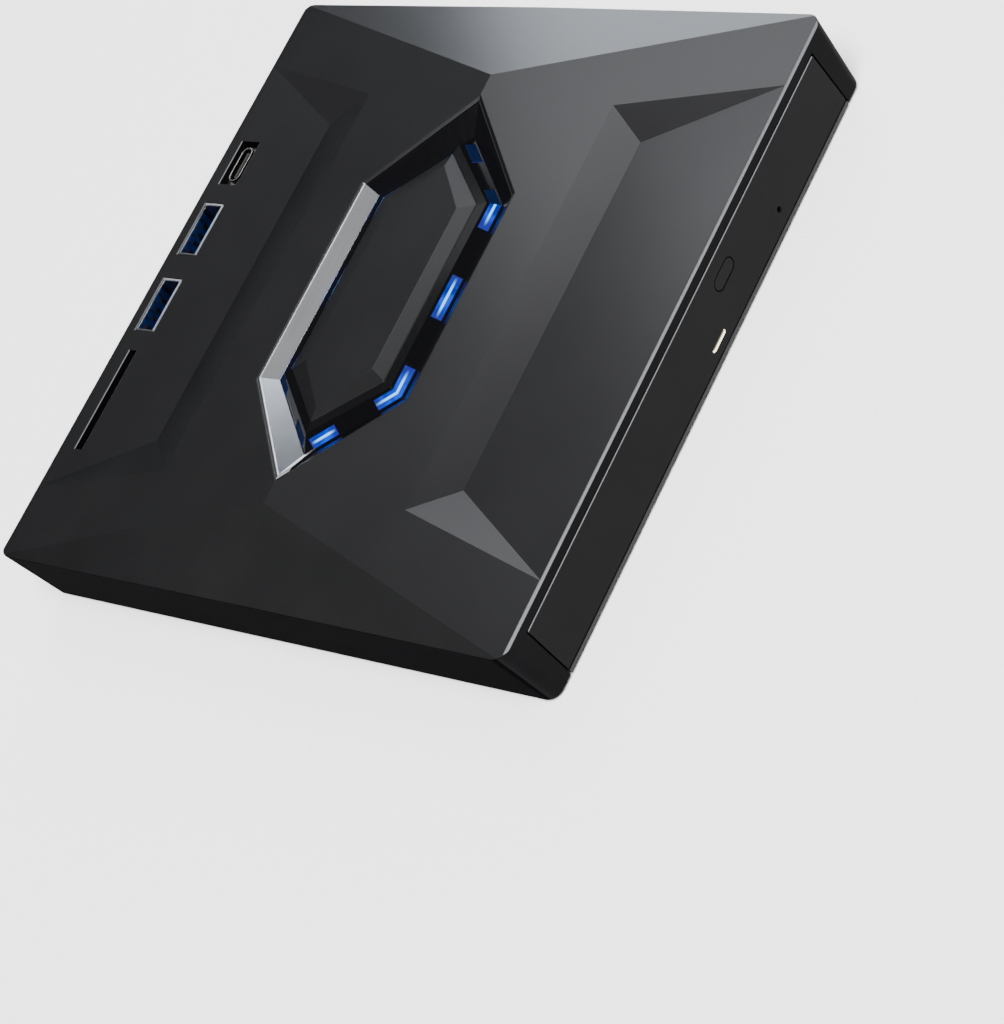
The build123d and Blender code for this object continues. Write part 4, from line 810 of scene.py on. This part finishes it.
class Shape:
    """A mesh in the making, in the row frame. It becomes metres at the end."""

    def __init__(self, unit: float = MM) -> None:
        """Starts with no geometry, in this unit."""
        self.mesh = bmesh.new()
        self.unit = unit

    def block(self, low: Triple, high: Triple, place: Matrix = HERE, bevel: float = 0.0) -> None:
        """Adds a box, with its edges bevelled.

        Args:
            low: Lowest corner.
            high: Highest corner.
            place: Where the box goes after it is sized.
            bevel: Width of the bevel.
        """
        middle = (Vector(low) + Vector(high)) / 2
        size = Vector(high) - Vector(low)
        seat = place @ Matrix.Translation(middle) @ Matrix.Diagonal((*size, 1.0))
        made = bmesh.ops.create_cube(self.mesh, size=1.0, matrix=seat)["verts"]
        if bevel:
            edges = {edge for vert in made for edge in vert.link_edges}
            self.soften(edges, bevel)

    def slab(self, half: Triple, place: Matrix, bevel: float) -> None:
        """Adds a bevelled box round a place, from half its lengths."""
        self.block(tuple(-length for length in half), half, place, bevel)

    def disc(
        self, radius: float, top_radius: float, low_z: float, high_z: float,
        place: Matrix = HERE, bevel: float = 0.0, segments: int = 48,
    ) -> None:
        """Adds an upright cylinder or cone with its rims bevelled.

        Args:
            radius: Radius at the foot.
            top_radius: Radius at the head.
            low_z: Height of the foot.
            high_z: Height of the head.
            place: Where it goes.
            bevel: Width of the bevel on both rims.
            segments: Number of sides.
        """
        seat = place @ Matrix.Translation((0, 0, (low_z + high_z) / 2))
        made = bmesh.ops.create_cone(
            self.mesh, cap_ends=True, segments=segments, radius1=radius, radius2=top_radius,
            depth=high_z - low_z, matrix=seat,
        )["verts"]
        if bevel:
            rims = {
                edge for vert in made for edge in vert.link_edges
                if any(len(face.verts) > 4 for face in edge.link_faces)
            }
            self.soften(rims, bevel)

    def lathe(self, outline: Sequence[Pair], place: Matrix = HERE, steps: int = 64) -> None:
        """Spins an outline of radius and height round Z.

        Args:
            outline: Its points. One that starts and ends at the same point makes a closed ring.
            place: Where the turned shape goes.
            steps: Number of sides.
        """
        before = set(self.mesh.verts)
        verts = [self.mesh.verts.new((radius, 0, height)) for radius, height in outline]
        edges = [self.mesh.edges.new(pair) for pair in zip(verts, verts[1:])]
        bmesh.ops.spin(
            self.mesh, geom=verts + edges, cent=(0, 0, 0), axis=(0, 0, 1), angle=math.tau, steps=steps, use_merge=True,
        )
        made = [vert for vert in self.mesh.verts if vert not in before]
        bmesh.ops.transform(self.mesh, matrix=place, verts=made)
        bmesh.ops.remove_doubles(self.mesh, verts=made, dist=WELD)
        bmesh.ops.recalc_face_normals(self.mesh, faces=self.mesh.faces)

    def soften(self, edges: Iterable[bmesh.types.BMEdge], width: float, segments: int = 2) -> None:
        """Rounds edges.

        Args:
            edges: The edges.
            width: Width of the rounding.
            segments: Number of strips in it.
        """
        bmesh.ops.bevel(
            self.mesh, geom=list(edges), offset=width, offset_type="OFFSET", segments=segments, profile=0.5,
            affect="EDGES", material=-1, clamp_overlap=False,
        )

    def finish(self, name: str, finish: Look, body: str, slot: str, crisp: float = UPRIGHT_CRISP) -> bpy.types.Object:
        """Makes the piece.

        Args:
            name: The piece's name.
            finish: Its finish.
            body: The body it rides on.
            slot: The record's material slot it belongs to; not used.
            crisp: Angle in degrees above which an edge that isn't upright stays sharp.

        Returns:
            The piece's object.
        """
        bmesh.ops.scale(self.mesh, vec=(self.unit, self.unit, self.unit), verts=self.mesh.verts)
        for face in self.mesh.faces:
            face.smooth = True
        for edge in self.mesh.edges:
            run = edge.verts[1].co - edge.verts[0].co
            upright = abs(run.z) > UPRIGHT_SHARE * run.length
            limit = math.radians(max(crisp, UPRIGHT_CRISP) if upright else crisp)
            edge.smooth = len(edge.link_faces) == 2 and edge.calc_face_angle(0.0) < limit
        data = bpy.data.meshes.new(name)
        self.mesh.to_mesh(data)
        self.mesh.free()
        data.materials.append(finish.value.material())
        piece = bpy.data.objects.new(name, data)
        bpy.context.scene.collection.objects.link(piece)
        weights = piece.modifiers.new("even_shading", "WEIGHTED_NORMAL")
        weights.keep_sharp = True
        weights.weight = 100
        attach(piece, body)
        log.info("built %s in %s on %s", name, finish.value.name, body)
        return piece


@dataclass
class Softened:
    """A CAD node remade as one welded mesh with its outer edges rounded, in the node's place.

    The width is in millimetres, sharp and crisp are the least angles in degrees of an edge that is
    rounded and of one that stays sharp.
    """

    node: str
    finish: Look
    body: str
    slot: str
    width: float = 0.15
    sharp: float = 24.0
    crisp: float = 3.0

    def build(self) -> bpy.types.Object:
        """Builds the piece.

        Returns:
            The piece that stands for the node.
        """
        shape = Shape(1.0)
        shape.mesh.from_mesh(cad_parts[self.node].data)
        bmesh.ops.remove_doubles(shape.mesh, verts=shape.mesh.verts, dist=CAD_WELD)
        bmesh.ops.dissolve_limit(
            shape.mesh, angle_limit=math.radians(FLAT_DEGREES), use_dissolve_boundaries=False,
            verts=shape.mesh.verts, edges=shape.mesh.edges,
        )
        limit = math.radians(self.sharp)
        edges = [
            edge for edge in shape.mesh.edges
            if len(edge.link_faces) == 2 and edge.is_convex and edge.calc_face_angle(0.0) > limit
        ]
        shape.soften(edges, self.width * MM)
        piece = shape.finish(f"{self.node}_soft", self.finish, self.body, self.slot, self.crisp)
        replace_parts(piece, self.node)
        return piece


@dataclass
class CaseShell:
    """Lid, bottom plate, feet and the parts fixed inside the case."""

    eave_y: float = 71.9 * MM
    openings_y: float = 60.0 * MM
    eave_tilt: float = 0.45
    rim_tilt: float = 0.3
    level: float = 0.95
    upright: float = 0.5
    foot_spots: tuple[Pair, ...] = ((-54.0, -60.0), (54.0, -60.0), (-54.0, 48.0), (54.0, 48.0))
    foot_radius: float = 5.0
    foot_height: float = 0.8

    def build(self) -> None:
        """Rounds the lid's edges and dresses the rest."""
        lid = Softened("top_cover", Look.LID, "case", "case_black").build()
        refinish(lid, Look.WALL, lambda face: self.is_wall(face) and abs(face.normal.y) > self.upright)
        # The cut eaves and the rims of the rear openings take a pale painted highlight.
        refinish(lid, Look.PAINTED_EDGE_HIGHLIGHT, self.is_cut)
        # Upright faces that look sideways along X take a darker colour as painted shade.
        refinish(lid, Look.SIDE_WALL_SHADE, lambda face: self.is_wall(face) and abs(face.normal.y) <= self.upright)
        dress(Look.PLATE, "bottom_cover")
        self.build_feet()
        dress(Look.RUBBER, "cable_gland")
        dress(Look.DRIVE_STEEL, "drive_chassis", "drive_cover")
        dress(Look.GREEN_BOARD, "main_board", "hub_board")
        dress(Look.FILM, "ribbon_cable")
        dress(Look.CHIP, "hub_chips")

    def build_feet(self) -> None:
        """Turns the rubber feet, each with a rounded rim and a sunken middle."""
        radius, height = self.foot_radius, self.foot_height
        outline = [
            (0.0, height), (radius, height), (radius, 0.3), (radius - 0.12, 0.09), (radius - 0.4, 0.0),
            (radius - 1.4, 0.0), (radius - 1.6, 0.08), (radius - 1.8, 0.25), (0.0, 0.25),
        ]
        feet = Shape()
        for x, y in self.foot_spots:
            feet.lathe(outline, Matrix.Translation((x, y, 0)))
        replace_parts(feet.finish("rubber_feet_turned", Look.RUBBER, "case", "foot_rubber"), "rubber_feet")

    def is_cut(self, face: bpy.types.MeshPolygon) -> bool:
        """Whether a face belongs to the cut eaves or the rims of the rear openings.

        Args:
            face: A face of the lid.

        Returns:
            True where it does.
        """
        normal, y = face.normal, face.center.y
        eave = min(abs(normal.y), normal.z) > self.eave_tilt and abs(y) > self.eave_y
        rim = self.rim_tilt < normal.z < self.level and abs(normal.y) > self.rim_tilt
        return eave or (rim and self.openings_y < y < self.eave_y - MM)

    def is_wall(self, face: bpy.types.MeshPolygon) -> bool:
        """Whether a face stands upright and isn't cut."""
        return abs(face.normal.z) < self.upright and not self.is_cut(face)


@dataclass
class LitRing:
    """Six-sided ring with its island, its lit windows and its silver strip."""

    broad_face: float = 30.0 * MM * MM

    def build(self) -> None:
        """Rounds the mouldings, colours the strip's rounded edges and sides brighter as a painted highlight, and
        dresses the lamps.
        """
        Softened("hexagon_channel", Look.RING, "case", "ring_gloss", 0.08, 30.0).build()
        Softened("centre_panel", Look.ISLAND, "case", "panel_black", 0.12, 10.0).build()
        trim = Softened("silver_trim", Look.TRIM, "case", "trim_silver", 0.16, 20.0).build()
        # The small faces along the strip's edges take the paler colour as a painted highlight.
        refinish(trim, Look.TRIM_EDGE_HIGHLIGHT, lambda face: face.area < self.broad_face)
        dress(Look.GLOW, "light_guide")
        dress(Look.BLACK_BOARD, "light_board")
        dress(Look.LAMP_BODY, "light_leds")


@dataclass
class SocketRow:
    """Sockets along the rear edge, with their lips, springs and contacts. Sizes are in millimetres."""

    wide_xs: Pair = (-8.4, 11.4)
    wide_y: float = 66.2
    wide_half: Pair = (6.55, 2.85)
    wide_top: float = 18.694
    lip_widths: Pair = (0.5, 0.22)
    spring_at: Pair = (3.1, 2.35)
    spring_drop: float = 6.1
    spring_lean: float = 12.0
    spring_half: Triple = (0.7, 0.12, 1.15)
    contact_rows: tuple[tuple[Any, ...], ...] = (
        ((-3.5, -1.0, 1.0, 3.5), 0.5, 0.10, 8.0, 2.2, 0.05),
        ((-4.0, -2.0, 0.0, 2.0, 4.0), 0.3, 0.07, 1.7, 0.4, 0.04),
    )
    tongue_face: float = 66.25
    tongue_top: float = 17.19
    small_x: float = 29.1
    small_y: float = 65.65
    small_top: float = 18.7
    small_count: int = 12
    small_pitch: float = 0.5
    small_half: float = 0.13
    small_faces: Pair = (0.33, 0.40)
    small_depths: Pair = (4.6, 1.2)
    card_at: Triple = (-32.7, 65.3, 9.0)
    card_count: int = 9
    card_pitch: float = 2.5
    card_lean: float = 6.0
    card_half: Triple = (0.55, 0.08, 2.2)

    def build(self) -> None:
        """Rounds the shells, dresses the tongues and adds the metal inside."""
        for node in ("usb_socket_a", "usb_socket_b", "usb_c_socket", "power_socket"):
            Softened(node, Look.NICKEL, "case", "socket_nickel", 0.09, 40.0, 40.0).build()
        dress(Look.TONGUE_BLUE, "usb_tongue_a", "usb_tongue_b")
        dress(Look.TONGUE_BLACK, "usb_c_tongue", "power_tongue")
        dress(Look.SLOT, "card_slot_housing")
        for letter, x in zip("ab", self.wide_xs):
            self.build_lip(letter, x)
            self.build_springs(f"usb_springs_{letter}", x)
            self.build_wide_contacts(f"usb_contacts_{letter}", x)
        self.build_small_contacts()
        self.build_card_contacts()

    def build_lip(self, letter: str, x: float) -> None:
        """Rolled lip round the mouth of a wide socket: widest towards the tray and pale there as a painted highlight,
        darker behind as painted shade.

        Args:
            letter: The socket's letter.
            x: Its middle.
        """
        half_w, half_t = self.wide_half
        low, high = self.wide_top - 0.05, self.wide_top + 0.2
        # The tray-side lip takes the pale painted highlight, the rear side the darker painted shade.
        pieces = ((f"usb_lip_{letter}", Look.LIP_HIGHLIGHT), (f"usb_rim_{letter}", Look.RIM_SHADE))
        for side, wide, (name, finish) in zip((-1, 1), self.lip_widths, pieces):
            lip = Shape()
            y = self.wide_y + side * (half_t - wide / 2 + 0.12)
            lip.block((x - half_w, y - wide / 2, low), (x + half_w, y + wide / 2, high), bevel=0.08)
            end = x - side * (half_w - 0.02)
            lip.block((end - 0.2, self.wide_y - half_t, low), (end + 0.2, self.wide_y + half_t, high), bevel=0.08)
            lip.finish(name, finish, "case", "socket_nickel")

    def build_springs(self, name: str, x: float) -> None:
        """Four tabs that lean in from the shell's windows.

        Args:
            name: The piece's name.
            x: The socket's middle.
        """
        springs = Shape()
        for side in (-1, 1):
            for across in (-self.spring_at[0], self.spring_at[0]):
                y = self.wide_y + side * self.spring_at[1]
                seat = Matrix.Translation((x + across, y, self.wide_top - self.spring_drop))
                springs.slab(self.spring_half, seat @ turned(side * self.spring_lean, "X"), 0.08)
        springs.finish(name, Look.NICKEL, "case", "socket_nickel")

    def build_wide_contacts(self, name: str, x: float) -> None:
        """Four long and five short contacts on the rear face of a wide socket's tongue.

        Args:
            name: The piece's name.
            x: The socket's middle.
        """
        face, top = self.tongue_face, self.tongue_top
        contacts = Shape()
        for spots, half, proud, foot, head, bevel in self.contact_rows:
            for middle in (x + spot for spot in spots):
                low = (middle - half, face - 0.05, top - foot)
                contacts.block(low, (middle + half, face + proud, top - head), bevel=bevel)
        contacts.finish(name, Look.GOLD, "case", "socket_nickel")

    def build_small_contacts(self) -> None:
        """Twelve contacts on each face of the small socket's tongue."""
        contacts = Shape()
        half = self.small_half
        low, high = (self.small_top - depth for depth in self.small_depths)
        for index in range(self.small_count):
            x = self.small_x + (index - (self.small_count - 1) / 2) * self.small_pitch
            for side in (-1, 1):
                near, far = sorted(self.small_y + side * face for face in self.small_faces)
                contacts.block((x - half, near, low), (x + half, far, high))
        contacts.finish("usb_c_contacts", Look.GOLD, "case", "socket_nickel")

    def build_card_contacts(self) -> None:
        """Nine sprung contacts down one wall of the card slot."""
        contacts = Shape()
        x, y, z = self.card_at
        for index in range(self.card_count):
            across = (index - (self.card_count - 1) / 2) * self.card_pitch
            contacts.slab(self.card_half, Matrix.Translation((x + across, y, z)) @ turned(self.card_lean, "X"), 0.04)
        contacts.finish("card_contacts", Look.GOLD, "case", "socket_dark")


@dataclass
class TrayFront:
    """Front plate of the tray with its light and button. Sizes are in millimetres."""

    face_y: float = -72.45
    top_z: float = 15.5
    top_tilt: float = 0.3
    lamp: Pair = (6.2, 4.2)
    lamp_half: Pair = (2.3, 0.36)

    def build(self) -> None:
        """Rounds the plate and the button and adds the lamp's lens."""
        plate = Softened("tray_bezel", Look.BEZEL, "tray", "bezel_black", 0.16, 40.0, 40.0).build()
        # The plate's top edge takes the same pale painted highlight as the eaves.
        refinish(plate, Look.PAINTED_EDGE_HIGHLIGHT, self.is_top_edge)
        Softened("eject_button", Look.BUTTON, "button", "bezel_black", 0.07, 40.0, 40.0).build()
        dress(Look.LAMP, "status_light")
        dress(Look.GREEN_BOARD, "front_board")
        dress(Look.TONGUE_BLACK, "eject_switch")
        self.build_lamp_cap()

    def is_top_edge(self, face: bpy.types.MeshPolygon) -> bool:
        """Whether a face of the plate is its upper front edge, which takes the same pale painted highlight as the
        eaves.
        """
        return min(face.normal.z, -face.normal.y) > self.top_tilt and face.center.z > self.top_z * MM

    def build_lamp_cap(self) -> None:
        """Domed cap of the light pipe, a little proud of the plate."""
        x, z = self.lamp
        half_w, half_h = self.lamp_half
        cap = Shape()
        cap.block((x - half_w, self.face_y - 0.2, z - half_h), (x + half_w, self.face_y + 0.1, z + half_h), bevel=0.12)
        cap.finish("status_lens", Look.LAMP, "tray", "light_warm")


@dataclass
class Tray:
    """Disc tray with its rails, latch and under cover."""

    def build(self) -> None:
        """Rounds the tray and dresses what goes with it."""
        Softened("disc_tray", Look.TRAY, "tray", "tray_black", 0.14, 50.0, 30.0).build()
        for node, finish, body, slot in (
            ("latch_lever", Look.LATCH, "latch", "latch_white"),
            ("left_rail", Look.RAIL, "left_rail_body", "rail_black"),
            ("right_rail", Look.RAIL, "right_rail_body", "rail_black"),
        ):
            Softened(node, finish, body, slot, 0.12, 50.0, 40.0).build()
        dress(Look.DRIVE_STEEL, "tray_under_cover")


@dataclass
class Pickup:
    """Spindle, sled and drive of the optical pickup. Sizes are in millimetres.

    Along u runs the sled's travel, across it v, both turned 45 degrees about the hub.
    """

    hub_y: float = -8.8
    turn: float = -45.0
    seat_low: float = 11.28
    seat_high: float = 11.4
    seat_radii: Pair = (9.8, 13.6)
    nose_top: float = 13.3
    lens_u: float = 24.0
    lens_foot: float = 10.1
    lens_radius: float = 1.9
    holder_half: Pair = (3.2, 3.9)
    coil_heights: Pair = (8.3, 9.9)
    coil_inset: float = 0.5
    wire_radius: float = 0.06
    wire_heights: Pair = (8.5, 9.6)
    sled_top: float = 8.8
    shield_u: float = -7.1
    shield_half_v: float = 10.5
    shield_screws: tuple[Pair, ...] = ((-7.3, -8.6), (-7.3, 8.6))
    screw_v: float = 18.6
    screw_z: float = 6.9
    screw_radius: float = 0.9
    screw_ends: Pair = (12.0, 54.0)
    thread_starts: int = 3
    thread_pitch: float = 3.0
    thread_steps: int = 20
    ridge_half: float = 0.16
    ridge_foot: float = -0.05
    ridge_crest: float = 0.1
    frame_top: float = 5.6
    head_radii: Pair = (1.5, 1.25)
    head_height: float = 0.5
    cross_half: Pair = (0.85, 0.13)
    frame_screws: tuple[Pair, ...] = ((11.0, 20.5), (66.5, 8.0), (66.5, -8.0), (-18.0, 0.0))

    def build(self) -> None:
        """Builds the spindle's seat, the lens with its coils and wires, the screw's thread and the fasteners."""
        self.dress_mechanism()
        self.build_seat()
        self.build_nose_cap()
        self.build_lens()
        self.build_coils()
        self.build_wires()
        self.build_shield()
        self.build_thread()
        self.build_frame_screws()

    def seat_at(self, u: float, v: float = 0.0, z: float = 0.0) -> Matrix:
        """Place of a point of the mechanism, with its axes turned."""
        hub = Matrix.Translation((0, self.hub_y, 0)) @ turned(self.turn, "Z")
        return hub @ Matrix.Translation((u, v, z))

    def dress_mechanism(self) -> None:
        """Gives the CAD parts of the mechanism their finishes."""
        dress(Look.FRAME_STEEL, "traverse_frame")
        dress(Look.GREY_RUBBER, "traverse_dampers")
        dress(Look.ROD, "guide_rods")
        dress(Look.SCREW, "lead_screw")
        dress(Look.CAN, "sled_motor")
        dress(Look.MOTOR, "spindle_motor")
        dress(Look.ROTOR, "spindle_rotor")
        Softened("turntable", Look.HOLDER, "spindle", "seat_black", 0.15, 50.0, 40.0).build()
        for number in (1, 2, 3):
            Softened(f"disc_claw_{number}", Look.CLAW, f"claw_{number}", "claw_grey", 0.1, 50.0, 40.0).build()
        Softened("pickup_sled", Look.ALLOY, "sled", "sled_alloy", 0.12, 50.0, 40.0).build()
        Softened("lens_holder", Look.HOLDER, "lens", "holder_black", 0.12, 50.0, 40.0).build()

    def build_seat(self) -> None:
        """Rubber ring that carries the disc."""
        inner, outer = self.seat_radii
        low, high = self.seat_low, self.seat_high
        outline = [
            (inner - 0.1, low), (inner - 0.1, high - 0.05), (inner, high), (outer, high), (outer + 0.12, high - 0.05),
            (outer + 0.12, low), (inner - 0.1, low),
        ]
        seat = Shape()
        seat.lathe(outline, self.seat_at(0), 96)
        seat.finish("seat_ring", Look.SEAT, "spindle", "seat_black")

    def build_nose_cap(self) -> None:
        """Steel end of the shaft on the turntable's nose, with a centre mark."""
        top = self.nose_top
        outline = [
            (0.0, top + 0.04), (0.35, top + 0.16), (1.35, top + 0.2), (1.5, top + 0.1), (1.5, top - 0.1),
            (0.0, top - 0.1),
        ]
        cap = Shape()
        cap.lathe(outline, self.seat_at(0))
        cap.finish("nose_cap", Look.ROD, "spindle", "rotor_steel")

    def build_lens(self) -> None:
        """Domed lens with its flat rim, in the plain lens's place."""
        foot, radius = self.lens_foot, self.lens_radius
        outline = [
            (0.0, foot), (radius, foot), (radius, foot + 0.62), (radius - 0.15, foot + 0.84),
            (radius - 0.4, foot + 0.86), (radius - 0.52, foot + 0.72), (1.1, foot + 0.8), (0.75, foot + 0.87),
            (0.38, foot + 0.9), (0.0, foot + 0.9),
        ]
        lens = Shape()
        lens.lathe(outline, self.seat_at(self.lens_u))
        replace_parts(lens.finish("domed_lens", Look.LENS, "lens", "lens_glass"), "objective_lens")

    def build_coils(self) -> None:
        """Focus coils on both sides of the lens holder."""
        coils = Shape()
        half_u, half_v = self.holder_half
        for side in (-1, 1):
            near, far = sorted((side * (half_v - 0.05), side * (half_v + 0.3)))
            low = (-half_u + self.coil_inset, near, self.coil_heights[0])
            coils.block(low, (half_u - self.coil_inset, far, self.coil_heights[1]), self.seat_at(self.lens_u), 0.1)
        coils.finish("focus_coils", Look.COPPER, "lens", "holder_black")

    def build_wires(self) -> None:
        """Four fine wires that hang the lens holder from a small board on the sled."""
        half_u, half_v = self.holder_half
        wires = Shape()
        lie = turned(90, "Y") @ turned(180, "Y")
        for v in (-half_v + 0.25, half_v - 0.25):
            for z in self.wire_heights:
                seat = self.seat_at(self.lens_u - half_u, v, z)
                wires.disc(self.wire_radius, self.wire_radius, -1.9, 0.1, seat @ lie, segments=8)
        wires.finish("lens_wires", Look.COPPER, "lens", "holder_black")

    def build_shield(self) -> None:
        """Stamped shield over the laser with its two screws."""
        top = self.sled_top
        shield = Shape()
        low, high = (-1.9, -self.shield_half_v, top - 0.05), (1.5, self.shield_half_v, top + 0.13)
        shield.block(low, high, self.seat_at(self.lens_u + self.shield_u), 0.05)
        for u, v in self.shield_screws:
            shield.disc(0.95, 0.85, top + 0.1, top + 0.28, self.seat_at(self.lens_u + u, v), 0.05, 24)
        shield.finish("sled_shield", Look.FRAME_STEEL, "sled", "sled_alloy")

    def build_thread(self) -> None:
        """Multi-start thread wound along the lead screw."""
        start, end = self.screw_ends
        radius = self.screw_radius
        foot = radius + self.ridge_foot
        thread = Shape()
        axis = self.seat_at(start, self.screw_v, self.screw_z) @ turned(90, "Y")
        turns = (end - start) / self.thread_pitch
        for index in range(self.thread_starts):
            phase = turned(360 * index / self.thread_starts, "Z")
            ridge = [(foot, -self.ridge_half), (radius + self.ridge_crest, 0.0), (foot, self.ridge_half)]
            verts = [thread.mesh.verts.new((across, 0, along)) for across, along in ridge]
            edges = [thread.mesh.edges.new(pair) for pair in zip(verts, verts[1:] + verts[:1])]
            bmesh.ops.spin(
                thread.mesh, geom=verts + edges, cent=(0, 0, 0), axis=(0, 0, 1), angle=math.tau * turns,
                steps=round(turns * self.thread_steps), dvec=(0, 0, self.thread_pitch / self.thread_steps),
                use_merge=False,
            )
            ends = [edge for edge in thread.mesh.edges if edge.is_boundary]
            bmesh.ops.holes_fill(thread.mesh, edges=ends, sides=len(ridge))
            whole = {vert for face in thread.mesh.faces for vert in face.verts if not vert.tag}
            bmesh.ops.transform(thread.mesh, matrix=axis @ phase, verts=list(whole))
            for vert in whole:
                vert.tag = True
        bmesh.ops.recalc_face_normals(thread.mesh, faces=thread.mesh.faces)
        thread.finish("screw_thread", Look.SCREW, "screw", "rod_steel", 30.0)

    def build_frame_screws(self) -> None:
        """Pan-head screws on the traverse frame, each with a thin cross on its crown."""
        screws = Shape()
        half_u, half_v = self.cross_half
        crown = self.frame_top + self.head_height
        for u, v in self.frame_screws:
            seat = self.seat_at(u, v)
            screws.disc(*self.head_radii, self.frame_top - 0.05, crown, seat, 0.12, 32)
            for angle in (0, 90):
                across = seat @ turned(angle, "Z")
                screws.block((-half_u, -half_v, crown - 0.05), (half_u, half_v, crown + 0.03), across)
        screws.finish("frame_screws", Look.SCREW, "tray", "frame_steel")


@dataclass(frozen=True)
class Softbox:
    """One soft area light that looks at a point on the object."""

    name: str
    azimuth: float
    elevation: float
    distance: float
    size: Pair
    radiance: float
    colour: Colour = (1.0, 1.0, 1.0)
    target: Triple = (0.0, 0.0, 0.02)
    mirrored: bool = True

    def build(self) -> None:
        """Hangs the light. Azimuth 0 is at +Y and 90 at +X."""
        data = bpy.data.lights.new(self.name, "AREA")
        data.shape = "RECTANGLE"
        data.size, data.size_y = self.size
        data.energy = self.radiance * math.pi * self.size[0] * self.size[1]
        data.color = self.colour
        light = bpy.data.objects.new(self.name, data)
        light.visible_glossy = self.mirrored
        bpy.context.scene.collection.objects.link(light)
        azimuth, elevation = math.radians(self.azimuth), math.radians(self.elevation)
        way = Vector((
            math.sin(azimuth) * math.cos(elevation), math.cos(azimuth) * math.cos(elevation), math.sin(elevation),
        ))
        light.location = Vector(self.target) + way * self.distance
        light.rotation_mode = "QUATERNION"
        light.rotation_quaternion = (-way).to_track_quat("-Z", "Y")
        log.info("hung %s", self.name)


@dataclass
class Studio:
    """Floor, lights, surroundings and camera."""

    floor_half: float = 6.0
    camera_at: Triple = (-0.22052, -0.44197, 0.40539)
    camera_look: Triple = (0.30847825, 0.67247015, -0.67277415)
    camera_up: Triple = (0.84970436, 0.12313211, 0.51268019)
    lens: float = 108.91
    softboxes: tuple[Softbox, ...] = (
        Softbox("key", 215.0, 66.0, 4.0, (2.1, 2.1), 38.0, mirrored=False),
        Softbox("sheen", 215.0, 66.0, 3.9, (2.1, 2.1), 8.0),
        Softbox("overhead", 20.0, 66.0, 1.2, (1.7, 1.1), 0.45),
        Softbox("far_end", 56.5, 22.5, 1.0, (0.48, 0.28), 10.0, (0.86, 0.92, 1.0), (0.065, 0.0, 0.02)),
        Softbox("roof_wash", 57.0, 51.0, 1.0, (0.54, 0.36), 3.9, (0.94, 0.95, 1.0)),
        Softbox("port_wash", 24.0, 32.0, 1.2, (0.62, 0.26), 0.22),
        Softbox("trim_wash", 128.0, 65.0, 1.1, (0.5, 0.3), 1.1),
        Softbox("edge_strip", 152.0, 41.0, 1.2, (0.5, 0.10), 12.0),
    )
    sensor: float = 36.0
    nearest: float = 0.01
    air: Colour = (0.95, 0.97, 1.0)
    air_strength: float = 0.06

    def build(self) -> None:
        """Sets the stage."""
        self.lay_floor()
        self.fill_surroundings()
        for softbox in self.softboxes:
            softbox.build()
        self.set_camera()

    def lay_floor(self) -> None:
        """Lays the floor under the feet."""
        mesh = bmesh.new()
        bmesh.ops.create_grid(mesh, x_segments=2, y_segments=2, size=self.floor_half)
        data = bpy.data.meshes.new("studio_floor")
        mesh.to_mesh(data)
        mesh.free()
        data.materials.append(Look.FLOOR.value.material())
        floor = bpy.data.objects.new("studio_floor", data)
        bpy.context.scene.collection.objects.link(floor)

    def fill_surroundings(self) -> None:
        """Pale even surroundings."""
        world = bpy.data.worlds.new("studio_air")
        world.use_nodes = True
        air = world.node_tree.nodes["Background"]
        air.inputs["Color"].default_value = opaque(self.air)
        air.inputs["Strength"].default_value = self.air_strength
        bpy.context.scene.world = world

    def set_camera(self) -> None:
        """Puts the camera where the photograph was taken from."""
        data = bpy.data.cameras.new("camera")
        data.lens = self.lens
        data.sensor_width = self.sensor
        data.clip_start = self.nearest
        camera = bpy.data.objects.new("camera", data)
        bpy.context.scene.collection.objects.link(camera)
        look = Vector(self.camera_look).normalized()
        up = Vector(self.camera_up).normalized()
        side = look.cross(up).normalized()
        turn = Matrix((side, up, -look)).transposed()
        camera.matrix_world = Matrix.Translation(self.camera_at) @ turn.to_4x4()
        bpy.context.scene.camera = camera


def main() -> None:
    """Builds the object and its studio, one sub-assembly after another."""
    logging.basicConfig(level=logging.INFO, format="%(message)s")
    assemblies = (CaseShell(), LitRing(), SocketRow(), TrayFront(), Tray(), Pickup(), Studio())
    for assembly in assemblies:
        log.info("building %s", type(assembly).__name__)
        assembly.build()


if __name__ == "__main__":
    main()
